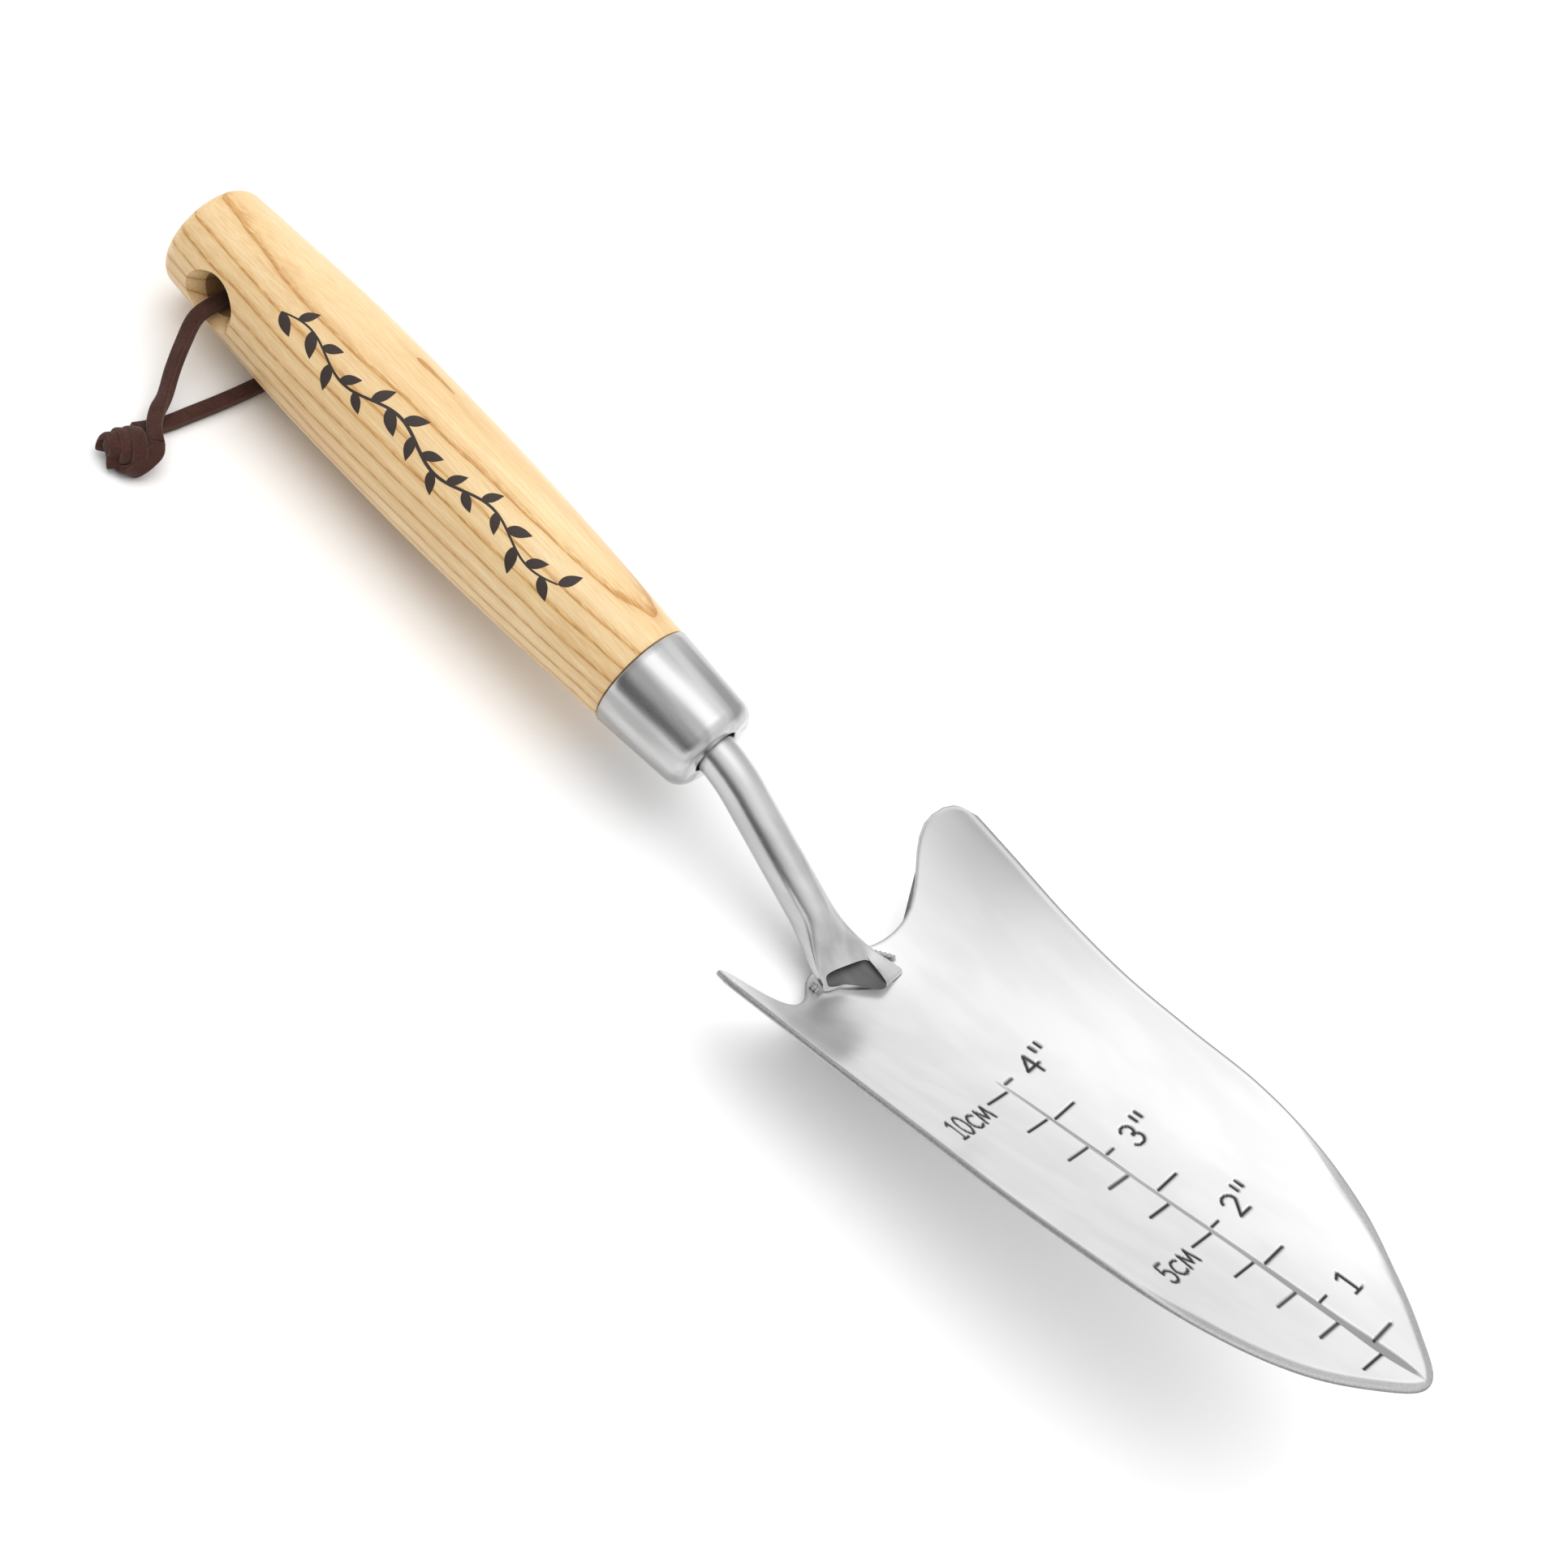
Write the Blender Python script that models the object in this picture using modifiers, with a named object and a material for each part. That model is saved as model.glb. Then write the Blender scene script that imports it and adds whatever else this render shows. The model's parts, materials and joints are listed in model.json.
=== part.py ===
"""Hand trowel: turned ash handle, steel ferrule, bent tube neck, dished blade and a suede thong.

Everything but the thong is modelled in the trowel's own frame and hung from one empty.
That frame has X along the handle's axis towards the blade's tip, Z up out of the scoop,
and its origin on the axis where the ferrule meets the handle's shoulder.
The empty then lays the trowel down: the blade's heel touches the ground, and the back of
the handle rests on the thong that runs beneath it.
"""
import math

import bmesh
import bpy
import numpy as np
from mathutils import Vector

MM = 0.001
GAP = 0.3 * MM                      # between pieces that touch on the real tool

# handle
HANDLE_LENGTH = 138.6 * MM          # shoulder to butt
HANDLE_SHOULDER_RADIUS = 12.4 * MM
HANDLE_BELLY_RADIUS = 15.3 * MM
HANDLE_BUTT_RADIUS = 12.7 * MM
BUTT_EDGE_RADIUS = 3.2 * MM
BUTT_FLAT_RADIUS = 6.0 * MM
BUTT_DOME = 0.8 * MM
SWELL = ((0.0, 0.0), (0.21, 0.62), (0.42, 0.97), (0.54, 1.0), (0.68, 0.93), (1.0, 0.0))
HOLE_FROM_BUTT = 16.6 * MM
HOLE_RADIUS = 5.0 * MM
HOLE_MOUTH_RADIUS = 7.6 * MM
HOLE_FLARE_DEPTH = 5.5 * MM
CUTTER_REACH = 2.0 * MM             # past the handle's widest point
CUTTER_FLARE = 1.2 * MM             # wider than the mouth by the time it gets there

# ferrule
FERRULE_LENGTH = 23.0 * MM
FERRULE_BACK_RADIUS = 12.7 * MM
FERRULE_FRONT_RADIUS = 11.1 * MM
FERRULE_EDGE_RADIUS = 3.6 * MM
FERRULE_WALL = 1.2 * MM
FERRULE_HOLE_CLEARANCE = 0.8 * MM   # the dark ring round the neck

# neck
NECK_RADIUS = 4.7 * MM
NECK_WALL = 1.2 * MM
TANG_DEPTH = 60.0 * MM              # behind the shoulder, inside the handle
TANG_CLEARANCE = 0.3 * MM
BEND_START = 20.0 * MM
BEND_RADIUS = 32.0 * MM
BEND_ANGLE = math.radians(23.7)
PRESS_START = 58.0 * MM             # the round tube begins to flatten here
MOUTH_HALF_WIDTH = 6.8 * MM
MOUTH_RISE = 2.9 * MM
MOUTH_OVERHANG = 1.5 * MM           # the mouth's edge past the blade's heel
LIP_REACH = 6.5 * MM                # the right wall runs on past the left one
LIP_RISE = 0.2                      # share of the lip's reach by which it climbs
SEAT_START = 65.0 * MM              # from here on the neck stays above the blade

# blade
HEEL = 68.0 * MM                    # from the shoulder to the heel's middle
BLADE_LENGTH = 142.0 * MM
BLADE_HALF_WIDTH = 39.2 * MM
BLADE_SHEET = 1.5 * MM
ROW_CROWDING = 1.35                 # more of the blade's rows lie near its round nose
WING_SWEEP = 9.0 * MM               # how far the wings reach behind the heel's middle
DISH_POWER = 1.85
DISH_SOFTNESS = 0.12
TIP_RISE = 20.5 * MM                # the tip above the handle's axis
HEEL_DROP = 22.6 * MM               # the heel below the handle's axis

# Blade stations are shares of its length counted from the tip.
# A half width's station is a square root, which rounds the nose.
HALF_WIDTHS = ((0.0, 0.0), (0.21, 0.215), (0.355, 0.437), (0.467, 0.605), (0.57, 0.724),
               (0.669, 0.792), (0.752, 0.815), (0.829, 0.834), (0.9, 0.878), (0.97, 0.938),
               (1.035, 1.0))
# Heights are shares of the whole rise from the heel to the tip.
FLOOR_HEIGHTS = ((0.0, 1.0), (0.146, 0.868), (0.282, 0.737), (0.416, 0.601), (0.551, 0.469),
                 (0.687, 0.332), (0.82, 0.176), (0.915, 0.06), (1.0, 0.0), (1.08, -0.012))
RIM_HEIGHTS = ((0.0, 1.0), (0.06, 0.956), (0.126, 0.921), (0.218, 0.903), (0.325, 0.87),
               (0.447, 0.81), (0.565, 0.722), (0.687, 0.647), (0.811, 0.598), (0.94, 0.57),
               (1.08, 0.535))
# The heel's edge: share of the half width, and share of the wings' sweep reached there.
HEEL_EDGE = ((0.0, 0.12), (0.16, 0.05), (0.3, -0.3), (0.44, -0.38), (0.54, -0.25), (0.65, 0.15),
             (0.747, 0.66), (0.82, 0.95), (0.88, 1.0), (0.94, 0.88), (0.98, 0.6), (1.0, 0.2))

# weld beads
BEAD_RADIUS = 0.9 * MM
LEFT_BEAD_LENGTH = 2.2 * MM
RIGHT_BEAD_LENGTH = 7.0 * MM

# thong
THONG_DIAMETER = 2.6 * MM
THONG_LIFT = 0.1 * MM               # clear of the ground
THONG_CROSSING = -106.8 * MM        # where it passes under the handle, in the trowel's frame
# The thong's route on the ground, from one side of the knot to the other: X, Y, Z in mm.
THONG_ROUTE = (
    (-138.4, -39.7, 5.2), (-141.9, -37.4, 5.0), (-145.1, -34.0, 4.8), (-147.6, -29.8, 5.2),
    (-151.1, -25.4, 7.4), (-154.3, -20.7, 10.2), (-157.1, -15.4, 13.2), (-157.7, -9.0, 14.0),
    (-157.7, 0.0, 14.0), (-157.7, 9.0, 14.0), (-157.1, 15.4, 12.9), (-154.7, 19.6, 9.0),
    (-151.1, 20.4, 4.6), (-146.9, 17.0, 2.0), (-143.7, 10.4, 1.4), (-142.5, 2.0, 1.4),
    (-142.4, -7.0, 1.4), (-142.6, -16.0, 1.4), (-143.1, -24.6, 1.4), (-143.7, -32.2, 1.4),
    (-144.5, -36.4, 1.6), (-144.9, -39.4, 2.4))
THONG_POINTS = 72
KNOT_CENTRE = (-141.2, -45.4, 4.4)
KNOT_HALF_SIZE = (6.0, 5.0, 4.2)


def empty_the_scene():
    for thing in list(bpy.data.objects):
        bpy.data.objects.remove(thing, do_unlink=True)


def new_collection(name):
    collection = bpy.data.collections.new(name)
    bpy.context.scene.collection.children.link(collection)
    return collection


def paint(thing, colour, roughness, metallic=0.0):
    """Give a piece its own Principled material."""
    material = bpy.data.materials.new(thing.name)
    material.use_nodes = True
    shader = material.node_tree.nodes["Principled BSDF"]
    shader.inputs["Base Color"].default_value = (*colour, 1.0)
    shader.inputs["Roughness"].default_value = roughness
    shader.inputs["Metallic"].default_value = metallic
    thing.data.materials.append(material)


def add_object(name, data, collection, parent=None):
    thing = bpy.data.objects.new(name, data)
    collection.objects.link(thing)
    thing.parent = parent
    return thing


def smooth_through(points):
    """A smooth function through a few (station, value) pairs, level past its ends."""
    stations, values = np.array(points, dtype=float).T
    slopes = np.gradient(values, stations)

    def at(station):
        station = np.clip(station, stations[0], stations[-1])
        k = np.clip(np.searchsorted(stations, station) - 1, 0, len(stations) - 2)
        step = stations[k + 1] - stations[k]
        f = (station - stations[k]) / step
        return ((1 + 2 * f) * (1 - f) ** 2 * values[k] + f * (1 - f) ** 2 * step * slopes[k]
                + f * f * (3 - 2 * f) * values[k + 1] + f * f * (f - 1) * step * slopes[k + 1])

    return at


def arc(centre, radius, start, end, steps):
    """Points on an arc in a turned profile's plane; angles in degrees from the radius."""
    angles = np.radians(np.linspace(start, end, steps + 1))
    return [(centre[0] + radius * math.cos(a), centre[1] + radius * math.sin(a)) for a in angles]


def turned(name, profile, collection, parent=None, closed=False, steps=48):
    """Spin a (radius, height) profile about local Z; it runs down its outer side."""
    mesh = bpy.data.meshes.new(name)
    count = len(profile)
    edges = [(i, i + 1) for i in range(count - 1)]
    if closed:
        edges.append((count - 1, 0))
    mesh.from_pydata([(radius, 0.0, height) for radius, height in profile], edges, [])
    thing = add_object(name, mesh, collection, parent)
    screw = thing.modifiers.new("turn", "SCREW")
    screw.axis = "Z"
    screw.steps = steps
    screw.render_steps = steps
    screw.use_merge_vertices = True
    screw.merge_threshold = 0.00001
    return thing


def lay_along_handle(thing):
    """Turn a piece spun about Z so that its top points to the blade."""
    thing.rotation_euler = (0.0, math.radians(90), 0.0)


# the handle

def handle_radius(share):
    """The handle's radius at a share of its length behind the shoulder."""
    straight = HANDLE_SHOULDER_RADIUS + (HANDLE_BUTT_RADIUS - HANDLE_SHOULDER_RADIUS) * share
    middle = (HANDLE_SHOULDER_RADIUS + HANDLE_BUTT_RADIUS) / 2
    return straight + (HANDLE_BELLY_RADIUS - middle) * smooth_through(SWELL)(share)


def ferrule_radius(forward):
    """The ferrule's outer radius at a distance in front of the shoulder."""
    taper = FERRULE_BACK_RADIUS - FERRULE_FRONT_RADIUS
    return FERRULE_BACK_RADIUS - taper * forward / FERRULE_LENGTH


def handle_profile():
    """From the bottom of the tang's bore, over the spigot and shoulder, to the butt."""
    bore = NECK_RADIUS + TANG_CLEARANCE
    bore_end = -(TANG_DEPTH + GAP)
    spigot_end = FERRULE_LENGTH - FERRULE_WALL - FERRULE_EDGE_RADIUS
    lining = FERRULE_WALL + GAP
    profile = [(0.0, bore_end), (bore, bore_end), (bore, spigot_end),
               (ferrule_radius(spigot_end) - lining, spigot_end),
               (ferrule_radius(0.0) - lining, 0.0), (handle_radius(0.0), 0.0)]
    edge_start = HANDLE_LENGTH - BUTT_DOME - BUTT_EDGE_RADIUS
    for share in np.linspace(0.0, 1.0, 25)[1:]:
        profile.append((float(handle_radius(share * edge_start / HANDLE_LENGTH)),
                        -share * edge_start))
    rim = profile[-1][0] - BUTT_EDGE_RADIUS
    profile += arc((rim, -edge_start), BUTT_EDGE_RADIUS, 0, -75, 5)[1:]
    profile += [(BUTT_FLAT_RADIUS, -HANDLE_LENGTH), (0.0, -HANDLE_LENGTH)]
    return profile


def hole_cutter(cutters, parent):
    """A spool that drills the hanging hole and flares both of its mouths."""
    reach = HANDLE_BELLY_RADIUS + CUTTER_REACH
    mouth = float(handle_radius(1 - HOLE_FROM_BUTT / HANDLE_LENGTH))
    flare = HOLE_MOUTH_RADIUS - HOLE_RADIUS
    half = []
    for share in np.linspace(0.0, 1.0, 7):
        depth = mouth - HOLE_FLARE_DEPTH * share
        half.append((HOLE_RADIUS + flare * (1 - share) ** 2, depth))
    half.insert(0, (HOLE_MOUTH_RADIUS + CUTTER_FLARE, reach))
    half.insert(0, (0.0, reach))
    lower = [(radius, -height) for radius, height in reversed(half)]
    cutter = turned("hanging_hole_cutter", half + lower, cutters, parent, steps=36)
    cutter.location = (-(HANDLE_LENGTH - HOLE_FROM_BUTT), 0.0, 0.0)
    cutter.rotation_euler = (math.radians(90), 0.0, 0.0)
    cutter.hide_render = True
    cutter.display_type = "WIRE"
    return cutter


def make_handle(parts, cutters, parent):
    handle = turned("handle", handle_profile(), parts, parent, steps=56)
    lay_along_handle(handle)
    hole = handle.modifiers.new("hanging_hole", "BOOLEAN")
    hole.operation = "DIFFERENCE"
    hole.object = hole_cutter(cutters, parent)
    paint(handle, (0.72, 0.52, 0.30), 0.42)
    return handle


# the ferrule

def make_ferrule(parts, parent):
    """A steel cup over the handle's spigot, with a hole that the neck passes through."""
    front = FERRULE_LENGTH
    edge = FERRULE_EDGE_RADIUS
    hole = NECK_RADIUS + FERRULE_HOLE_CLEARANCE
    turn = (ferrule_radius(front - edge) - edge, front - edge)
    inside = edge - FERRULE_WALL
    profile = [(hole, front)] + arc(turn, edge, 90, 0, 6) + [(ferrule_radius(GAP), GAP)]
    profile += [(ferrule_radius(GAP) - FERRULE_WALL, GAP)] + arc(turn, inside, 0, 90, 4)
    profile += [(hole, front - FERRULE_WALL)]
    ferrule = turned("ferrule", profile, parts, parent, closed=True, steps=48)
    lay_along_handle(ferrule)
    paint(ferrule, (0.78, 0.78, 0.78), 0.22, 1.0)
    return ferrule


# the blade

def along_blade(x):
    """Share of the blade's length from the tip back to x."""
    return (HEEL + BLADE_LENGTH - x) / BLADE_LENGTH


def blade_half_width(x):
    station = np.sqrt(np.maximum(along_blade(x), 0.0))
    return BLADE_HALF_WIDTH * smooth_through(HALF_WIDTHS)(station)


def blade_height(x, across):
    """The scoop's height at x and at a share of the half width."""
    rise = TIP_RISE + HEEL_DROP
    floor = rise * smooth_through(FLOOR_HEIGHTS)(along_blade(x)) - HEEL_DROP
    rim = rise * smooth_through(RIM_HEIGHTS)(along_blade(x)) - HEEL_DROP
    soft = DISH_SOFTNESS ** DISH_POWER
    dish = ((across ** 2 + DISH_SOFTNESS ** 2) ** (DISH_POWER / 2) - soft) / (
        (1 + DISH_SOFTNESS ** 2) ** (DISH_POWER / 2) - soft)
    return floor + (rim - floor) * dish


def blade_surface(x, y):
    """The scoop's height under the point x, y."""
    return blade_height(x, y / np.maximum(blade_half_width(x), MM))


def heel_edge(share):
    """Where the blade ends at a share of its half width."""
    return HEEL - WING_SWEEP * smooth_through(HEEL_EDGE)(np.abs(share))


def blade_grid(rows, columns):
    """Rows of points from the tip to the heel's edge, over columns from side to side."""
    shares = np.sin(np.linspace(-math.pi / 2, math.pi / 2, columns + 1))
    tip = HEEL + BLADE_LENGTH
    grid = []
    for row in range(1, rows + 1):
        x = tip - (tip - heel_edge(shares)) * (row / rows) ** ROW_CROWDING
        grid.append(list(zip(x, shares * blade_half_width(x), blade_height(x, shares))))
    return (tip, 0.0, float(blade_height(tip, 0.0))), grid


def make_blade(parts, parent):
    rows, columns = 30, 24
    tip, grid = blade_grid(rows, columns)
    points = [tip] + [point for line in grid for point in line]
    width = columns + 1
    faces = [(0, k + 2, k + 1) for k in range(columns)]
    for row in range(rows - 1):
        first = 1 + row * width
        faces += [(first + k, first + k + 1, first + k + width + 1, first + k + width)
                  for k in range(columns)]
    mesh = bpy.data.meshes.new("blade")
    mesh.from_pydata(points, [], faces)
    blade = add_object("blade", mesh, parts, parent)
    sheet = blade.modifiers.new("sheet", "SOLIDIFY")
    sheet.thickness = BLADE_SHEET
    sheet.offset = -1.0
    sheet.use_even_offset = True
    mesh.shade_smooth()
    paint(blade, (0.82, 0.82, 0.82), 0.3, 1.0)
    return blade


# the neck

def bent_axis(distance):
    """Where the neck's axis is, and its slope, at a distance in front of the shoulder."""
    bend = BEND_RADIUS * BEND_ANGLE
    past = distance - BEND_START
    if past <= 0:
        return distance, 0.0, 0.0
    angle = min(past, bend) / BEND_RADIUS
    straight = max(past - bend, 0.0)
    x = BEND_START + BEND_RADIUS * math.sin(angle) + straight * math.cos(angle)
    z = -BEND_RADIUS * (1 - math.cos(angle)) - straight * math.sin(angle)
    return x, z, angle


def neck_sections():
    """Centre, slope, half width, half height and lip of each section, tang to mouth."""
    press_length = (HEEL - PRESS_START + MOUTH_OVERHANG) / math.cos(BEND_ANGLE)
    bend_length = BEND_RADIUS * BEND_ANGLE
    bend_end = BEND_START + bend_length
    straight = (PRESS_START - bent_axis(bend_end)[0]) / math.cos(BEND_ANGLE)
    press_start = bend_end + straight
    distances = list(np.linspace(-TANG_DEPTH, BEND_START, 6))
    distances += list(np.linspace(BEND_START, bend_end, 8))[1:]
    distances += list(np.linspace(bend_end, press_start, 4))[1:]
    sections = []
    for distance in distances:
        x, z, slope = bent_axis(float(distance))
        sections.append((x, z, slope, NECK_RADIUS, NECK_RADIUS, 0.0))
    for share in np.linspace(0.0, 1.0, 9)[1:]:
        x, z, slope = bent_axis(press_start + share * press_length)
        eased = share * share * (3 - 2 * share)
        mouth_centre = float(blade_surface(HEEL, 0.0)) + GAP + MOUTH_RISE
        z += (mouth_centre - bent_axis(press_start + press_length)[1]) * eased
        sections.append((x, z, slope * (1 - 0.5 * eased),
                         NECK_RADIUS + (MOUTH_HALF_WIDTH - NECK_RADIUS) * eased,
                         NECK_RADIUS + (MOUTH_RISE - NECK_RADIUS) * eased,
                         LIP_REACH * share ** 3))
    return sections


def neck_ring(section, around, inset):
    """One ring of the neck's outer skin, or of its bore when there is an inset."""
    x, z, slope, half_width, half_height, lip = section
    ring = []
    for k in range(around):
        angle = 2 * math.pi * k / around
        across = math.cos(angle)
        y = (half_width - inset) * across
        normal = (half_height - inset) * math.sin(angle)
        forward = lip * max(across, 0.0) ** 2
        px = x + normal * math.sin(slope) + forward
        pz = z + normal * math.cos(slope) + forward * LIP_RISE
        if px > SEAT_START:
            seat = float(blade_surface(px, y)) + GAP + inset
            pz = max(pz, seat)
        ring.append((px, y, pz))
    return ring


def make_neck(parts, parent):
    """A tube lofted from the tang, round the bend, to the mouth pressed onto the blade."""
    around = 24
    sections = neck_sections()
    outside = [neck_ring(section, around, 0.0) for section in sections]
    inside = [neck_ring(section, around, NECK_WALL) for section in sections]
    mesh = bpy.data.meshes.new("neck_tube")
    shell = bmesh.new()
    loops = [[shell.verts.new(point) for point in ring] for ring in outside + inside[::-1]]
    for ring, following in zip(loops, loops[1:] + loops[:1]):
        for k in range(around):
            after = (k + 1) % around
            shell.faces.new((ring[k], ring[after], following[after], following[k]))
    bmesh.ops.recalc_face_normals(shell, faces=shell.faces)
    shell.to_mesh(mesh)
    shell.free()
    mesh.shade_smooth()
    neck = add_object("neck_tube", mesh, parts, parent)
    paint(neck, (0.78, 0.78, 0.78), 0.2, 1.0)
    return neck


# welds and thong are round wires along a path

def wire(name, points, radius, collection, parent=None):
    curve = bpy.data.curves.new(name, "CURVE")
    curve.dimensions = "3D"
    curve.bevel_depth = radius
    curve.bevel_resolution = 2
    curve.use_fill_caps = True
    spline = curve.splines.new("POLY")
    spline.points.add(len(points) - 1)
    for slot, point in zip(spline.points, points):
        slot.co = (*point, 1.0)
    return add_object(name, curve, collection, parent)


def make_weld(side, reach, parts, parent):
    """A bead in the corner between the neck's foot and the scoop, on one side."""
    name = "weld_left" if side < 0 else "weld_right"
    offset = BEAD_RADIUS + GAP
    points = []
    for share in np.linspace(0.0, 1.0, 9):
        x = HEEL + offset + reach * share
        y = side * (MOUTH_HALF_WIDTH + offset)
        points.append((x, y, float(blade_surface(x, y)) + offset))
    bead = wire(name, points, BEAD_RADIUS, parts, parent)
    paint(bead, (0.55, 0.54, 0.53), 0.45, 1.0)
    return bead


def even_route(points, count):
    """Evenly spaced points on a smooth curve through the route's own points."""
    route = np.array(points, dtype=float)
    lengths = np.concatenate([[0.0], np.cumsum(np.linalg.norm(np.diff(route, axis=0), axis=1))])
    curves = [smooth_through(list(zip(lengths, route[:, axis]))) for axis in range(3)]
    fine = np.linspace(0.0, lengths[-1], 600)
    dense = np.stack([curve(fine) for curve in curves], axis=1)
    run = np.concatenate([[0.0], np.cumsum(np.linalg.norm(np.diff(dense, axis=0), axis=1))])
    stations = np.linspace(0.0, run[-1], count)
    return [tuple(float(np.interp(s, run, dense[:, axis])) for axis in range(3)) for s in stations]


def make_thong(parts):
    points = [Vector(point) * MM for point in even_route(THONG_ROUTE, THONG_POINTS)]
    thong = wire("thong", points, THONG_DIAMETER / 2, parts)
    paint(thong, (0.075, 0.032, 0.024), 0.85)
    return thong


def make_knot(parts):
    mesh = bpy.data.meshes.new("thong_knot")
    ball = bmesh.new()
    bmesh.ops.create_uvsphere(ball, u_segments=24, v_segments=14, radius=1.0)
    bmesh.ops.scale(ball, vec=Vector(KNOT_HALF_SIZE) * MM, verts=ball.verts)
    ball.to_mesh(mesh)
    ball.free()
    mesh.shade_smooth()
    knot = add_object("thong_knot", mesh, parts)
    knot.location = Vector(KNOT_CENTRE) * MM
    paint(knot, (0.075, 0.032, 0.024), 0.85)
    return knot


# how the trowel lies

def lay_down(trowel):
    """Pitch and lift the trowel: its heel on the ground, its handle on the thong.

    The ground's origin is under the middle of the trowel's length.
    """
    heel_x = float(heel_edge(0.0))
    heel = (heel_x, float(blade_surface(heel_x, 0.0)) - BLADE_SHEET)
    back = (THONG_CROSSING, -float(handle_radius(-THONG_CROSSING / HANDLE_LENGTH)))
    prop = THONG_DIAMETER + THONG_LIFT + GAP
    reach = math.hypot(heel[0] - back[0], heel[1] - back[1])
    lean = math.atan2(heel[1] - back[1], heel[0] - back[0])
    pitch = math.asin(-prop / reach) - lean
    tip = HEEL + BLADE_LENGTH
    slope = math.atan2(float(blade_height(tip, 0.0) - blade_height(tip - MM, 0.0)), MM)
    front = (tip * math.cos(pitch) - TIP_RISE * math.sin(pitch)
             + BLADE_SHEET * math.sin(pitch + slope))
    behind = -HANDLE_LENGTH * math.cos(pitch) - BUTT_FLAT_RADIUS * math.sin(pitch)
    lift = -(heel[0] * math.sin(pitch) + heel[1] * math.cos(pitch))
    trowel.rotation_euler = (0.0, -pitch, 0.0)
    trowel.location = (-(front + behind) / 2, 0.0, lift)


def main():
    empty_the_scene()
    parts = new_collection("hand_trowel")
    cutters = new_collection("cutters")
    trowel = add_object("trowel_frame", None, parts)
    lay_down(trowel)
    make_handle(parts, cutters, trowel)
    make_ferrule(parts, trowel)
    make_neck(parts, trowel)
    make_blade(parts, trowel)
    make_weld(-1, LEFT_BEAD_LENGTH, parts, trowel)
    make_weld(1, RIGHT_BEAD_LENGTH, parts, trowel)
    make_thong(parts)
    make_knot(parts)


main()
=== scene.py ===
# %% [markdown]
# # A hand trowel, finished piece by piece
# The shape of this trowel is already fixed by its CAD model.
# This lesson gives each CAD piece its finish: brushed steel, turned ash, suede lace.
# Each CAD piece is coarse, so a finer piece is built to stand for it. Most keep its shape;
# the neck's mouth, the weld beside it and the knot are shaped further.
# Everything is in metres, in the CAD model's own frame.

import json
import math

import bmesh
import bpy
import numpy as np
from mathutils import Matrix, Vector


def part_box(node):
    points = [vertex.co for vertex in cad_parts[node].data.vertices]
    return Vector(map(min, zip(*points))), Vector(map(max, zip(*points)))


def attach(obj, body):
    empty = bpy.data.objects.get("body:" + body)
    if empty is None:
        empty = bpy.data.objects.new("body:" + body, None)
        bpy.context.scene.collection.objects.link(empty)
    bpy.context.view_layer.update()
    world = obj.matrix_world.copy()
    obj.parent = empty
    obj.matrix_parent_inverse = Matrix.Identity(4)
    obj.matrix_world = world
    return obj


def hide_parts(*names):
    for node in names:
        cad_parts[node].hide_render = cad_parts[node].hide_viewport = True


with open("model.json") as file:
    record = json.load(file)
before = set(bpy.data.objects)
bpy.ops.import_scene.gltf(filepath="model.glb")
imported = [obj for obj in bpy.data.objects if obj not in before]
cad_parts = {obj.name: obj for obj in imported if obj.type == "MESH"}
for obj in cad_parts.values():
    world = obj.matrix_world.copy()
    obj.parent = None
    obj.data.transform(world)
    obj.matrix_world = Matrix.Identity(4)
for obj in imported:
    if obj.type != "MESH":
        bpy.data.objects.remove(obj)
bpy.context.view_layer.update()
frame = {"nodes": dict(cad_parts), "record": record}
MM = 0.001
for name in sorted(frame["nodes"]):
    low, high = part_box(name)
    print(f"{name:10s} {[round((b - a) / MM, 1) for a, b in zip(low, high)]} mm")

# %% [markdown]
# ## Where the trowel lies
# The trowel is easiest to describe along its own handle: X to the blade's tip, Z out of
# the scoop, and the origin where the handle meets the ferrule.
# The flat end of the handle is a mount in the record, with its place and direction.
# Those two are enough to find that frame, so nothing has to be fitted by eye.

# %% The trowel's own frame
HANDLE_LENGTH = 138.6
butt = next(mount for mount in frame["record"]["mounts"] if mount["name"] == "butt_end")
along = -Vector(butt["axis"]).normalized()
up = Vector((-along.z, 0.0, along.x))
shoulder = Vector(butt["pos_m"]) + along * HANDLE_LENGTH * MM
trowel_frame = Matrix((along, (0.0, 1.0, 0.0), up)).transposed().to_4x4()
trowel_frame.translation = shoulder
print("pitch", round(math.degrees(math.atan2(along.z, along.x)), 3), "degrees")

# %% [markdown]
# ## The camera
# The camera stands to one side of the trowel, about fifty degrees above the floor, with a
# long lens, so that the handle runs up to the left.
# The camera is turned about its own line of sight, so it is set by its three axes.


# %% Camera
def add_object(name, data):
    """A new object in the scene."""
    made = bpy.data.objects.new(name, data)
    bpy.context.scene.collection.objects.link(made)
    return made


camera_data = bpy.data.cameras.new("camera")
camera_data.lens = 72.94
camera_data.sensor_width = 36.0
camera = add_object("camera", camera_data)
sight = Vector((-0.17327, 0.64054, -0.74812)).normalized()
camera_up = Vector((-0.72068, 0.43527, 0.53959))
camera_right = sight.cross(camera_up).normalized()
camera_up = camera_right.cross(sight)
camera.matrix_world = Matrix((camera_right, camera_up, -sight)).transposed().to_4x4()
camera.matrix_world.translation = Vector((114.2, -410.6, 511.0)) * MM
bpy.context.scene.camera = camera
print("camera", [round(v, 3) for v in camera.matrix_world.translation])

# %% [markdown]
# ## Light
# Steel shows whatever is around it. A product table is a white room that is brightest
# overhead and darker at the height of the camera, and the dark part is what draws the
# grey bands on round steel. The world is therefore a ramp on height, brightest straight
# up, with one low dark band on the side that the camera stands on.
# A wide lamp adds soft shadows, and is left out of the reflections.

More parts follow.
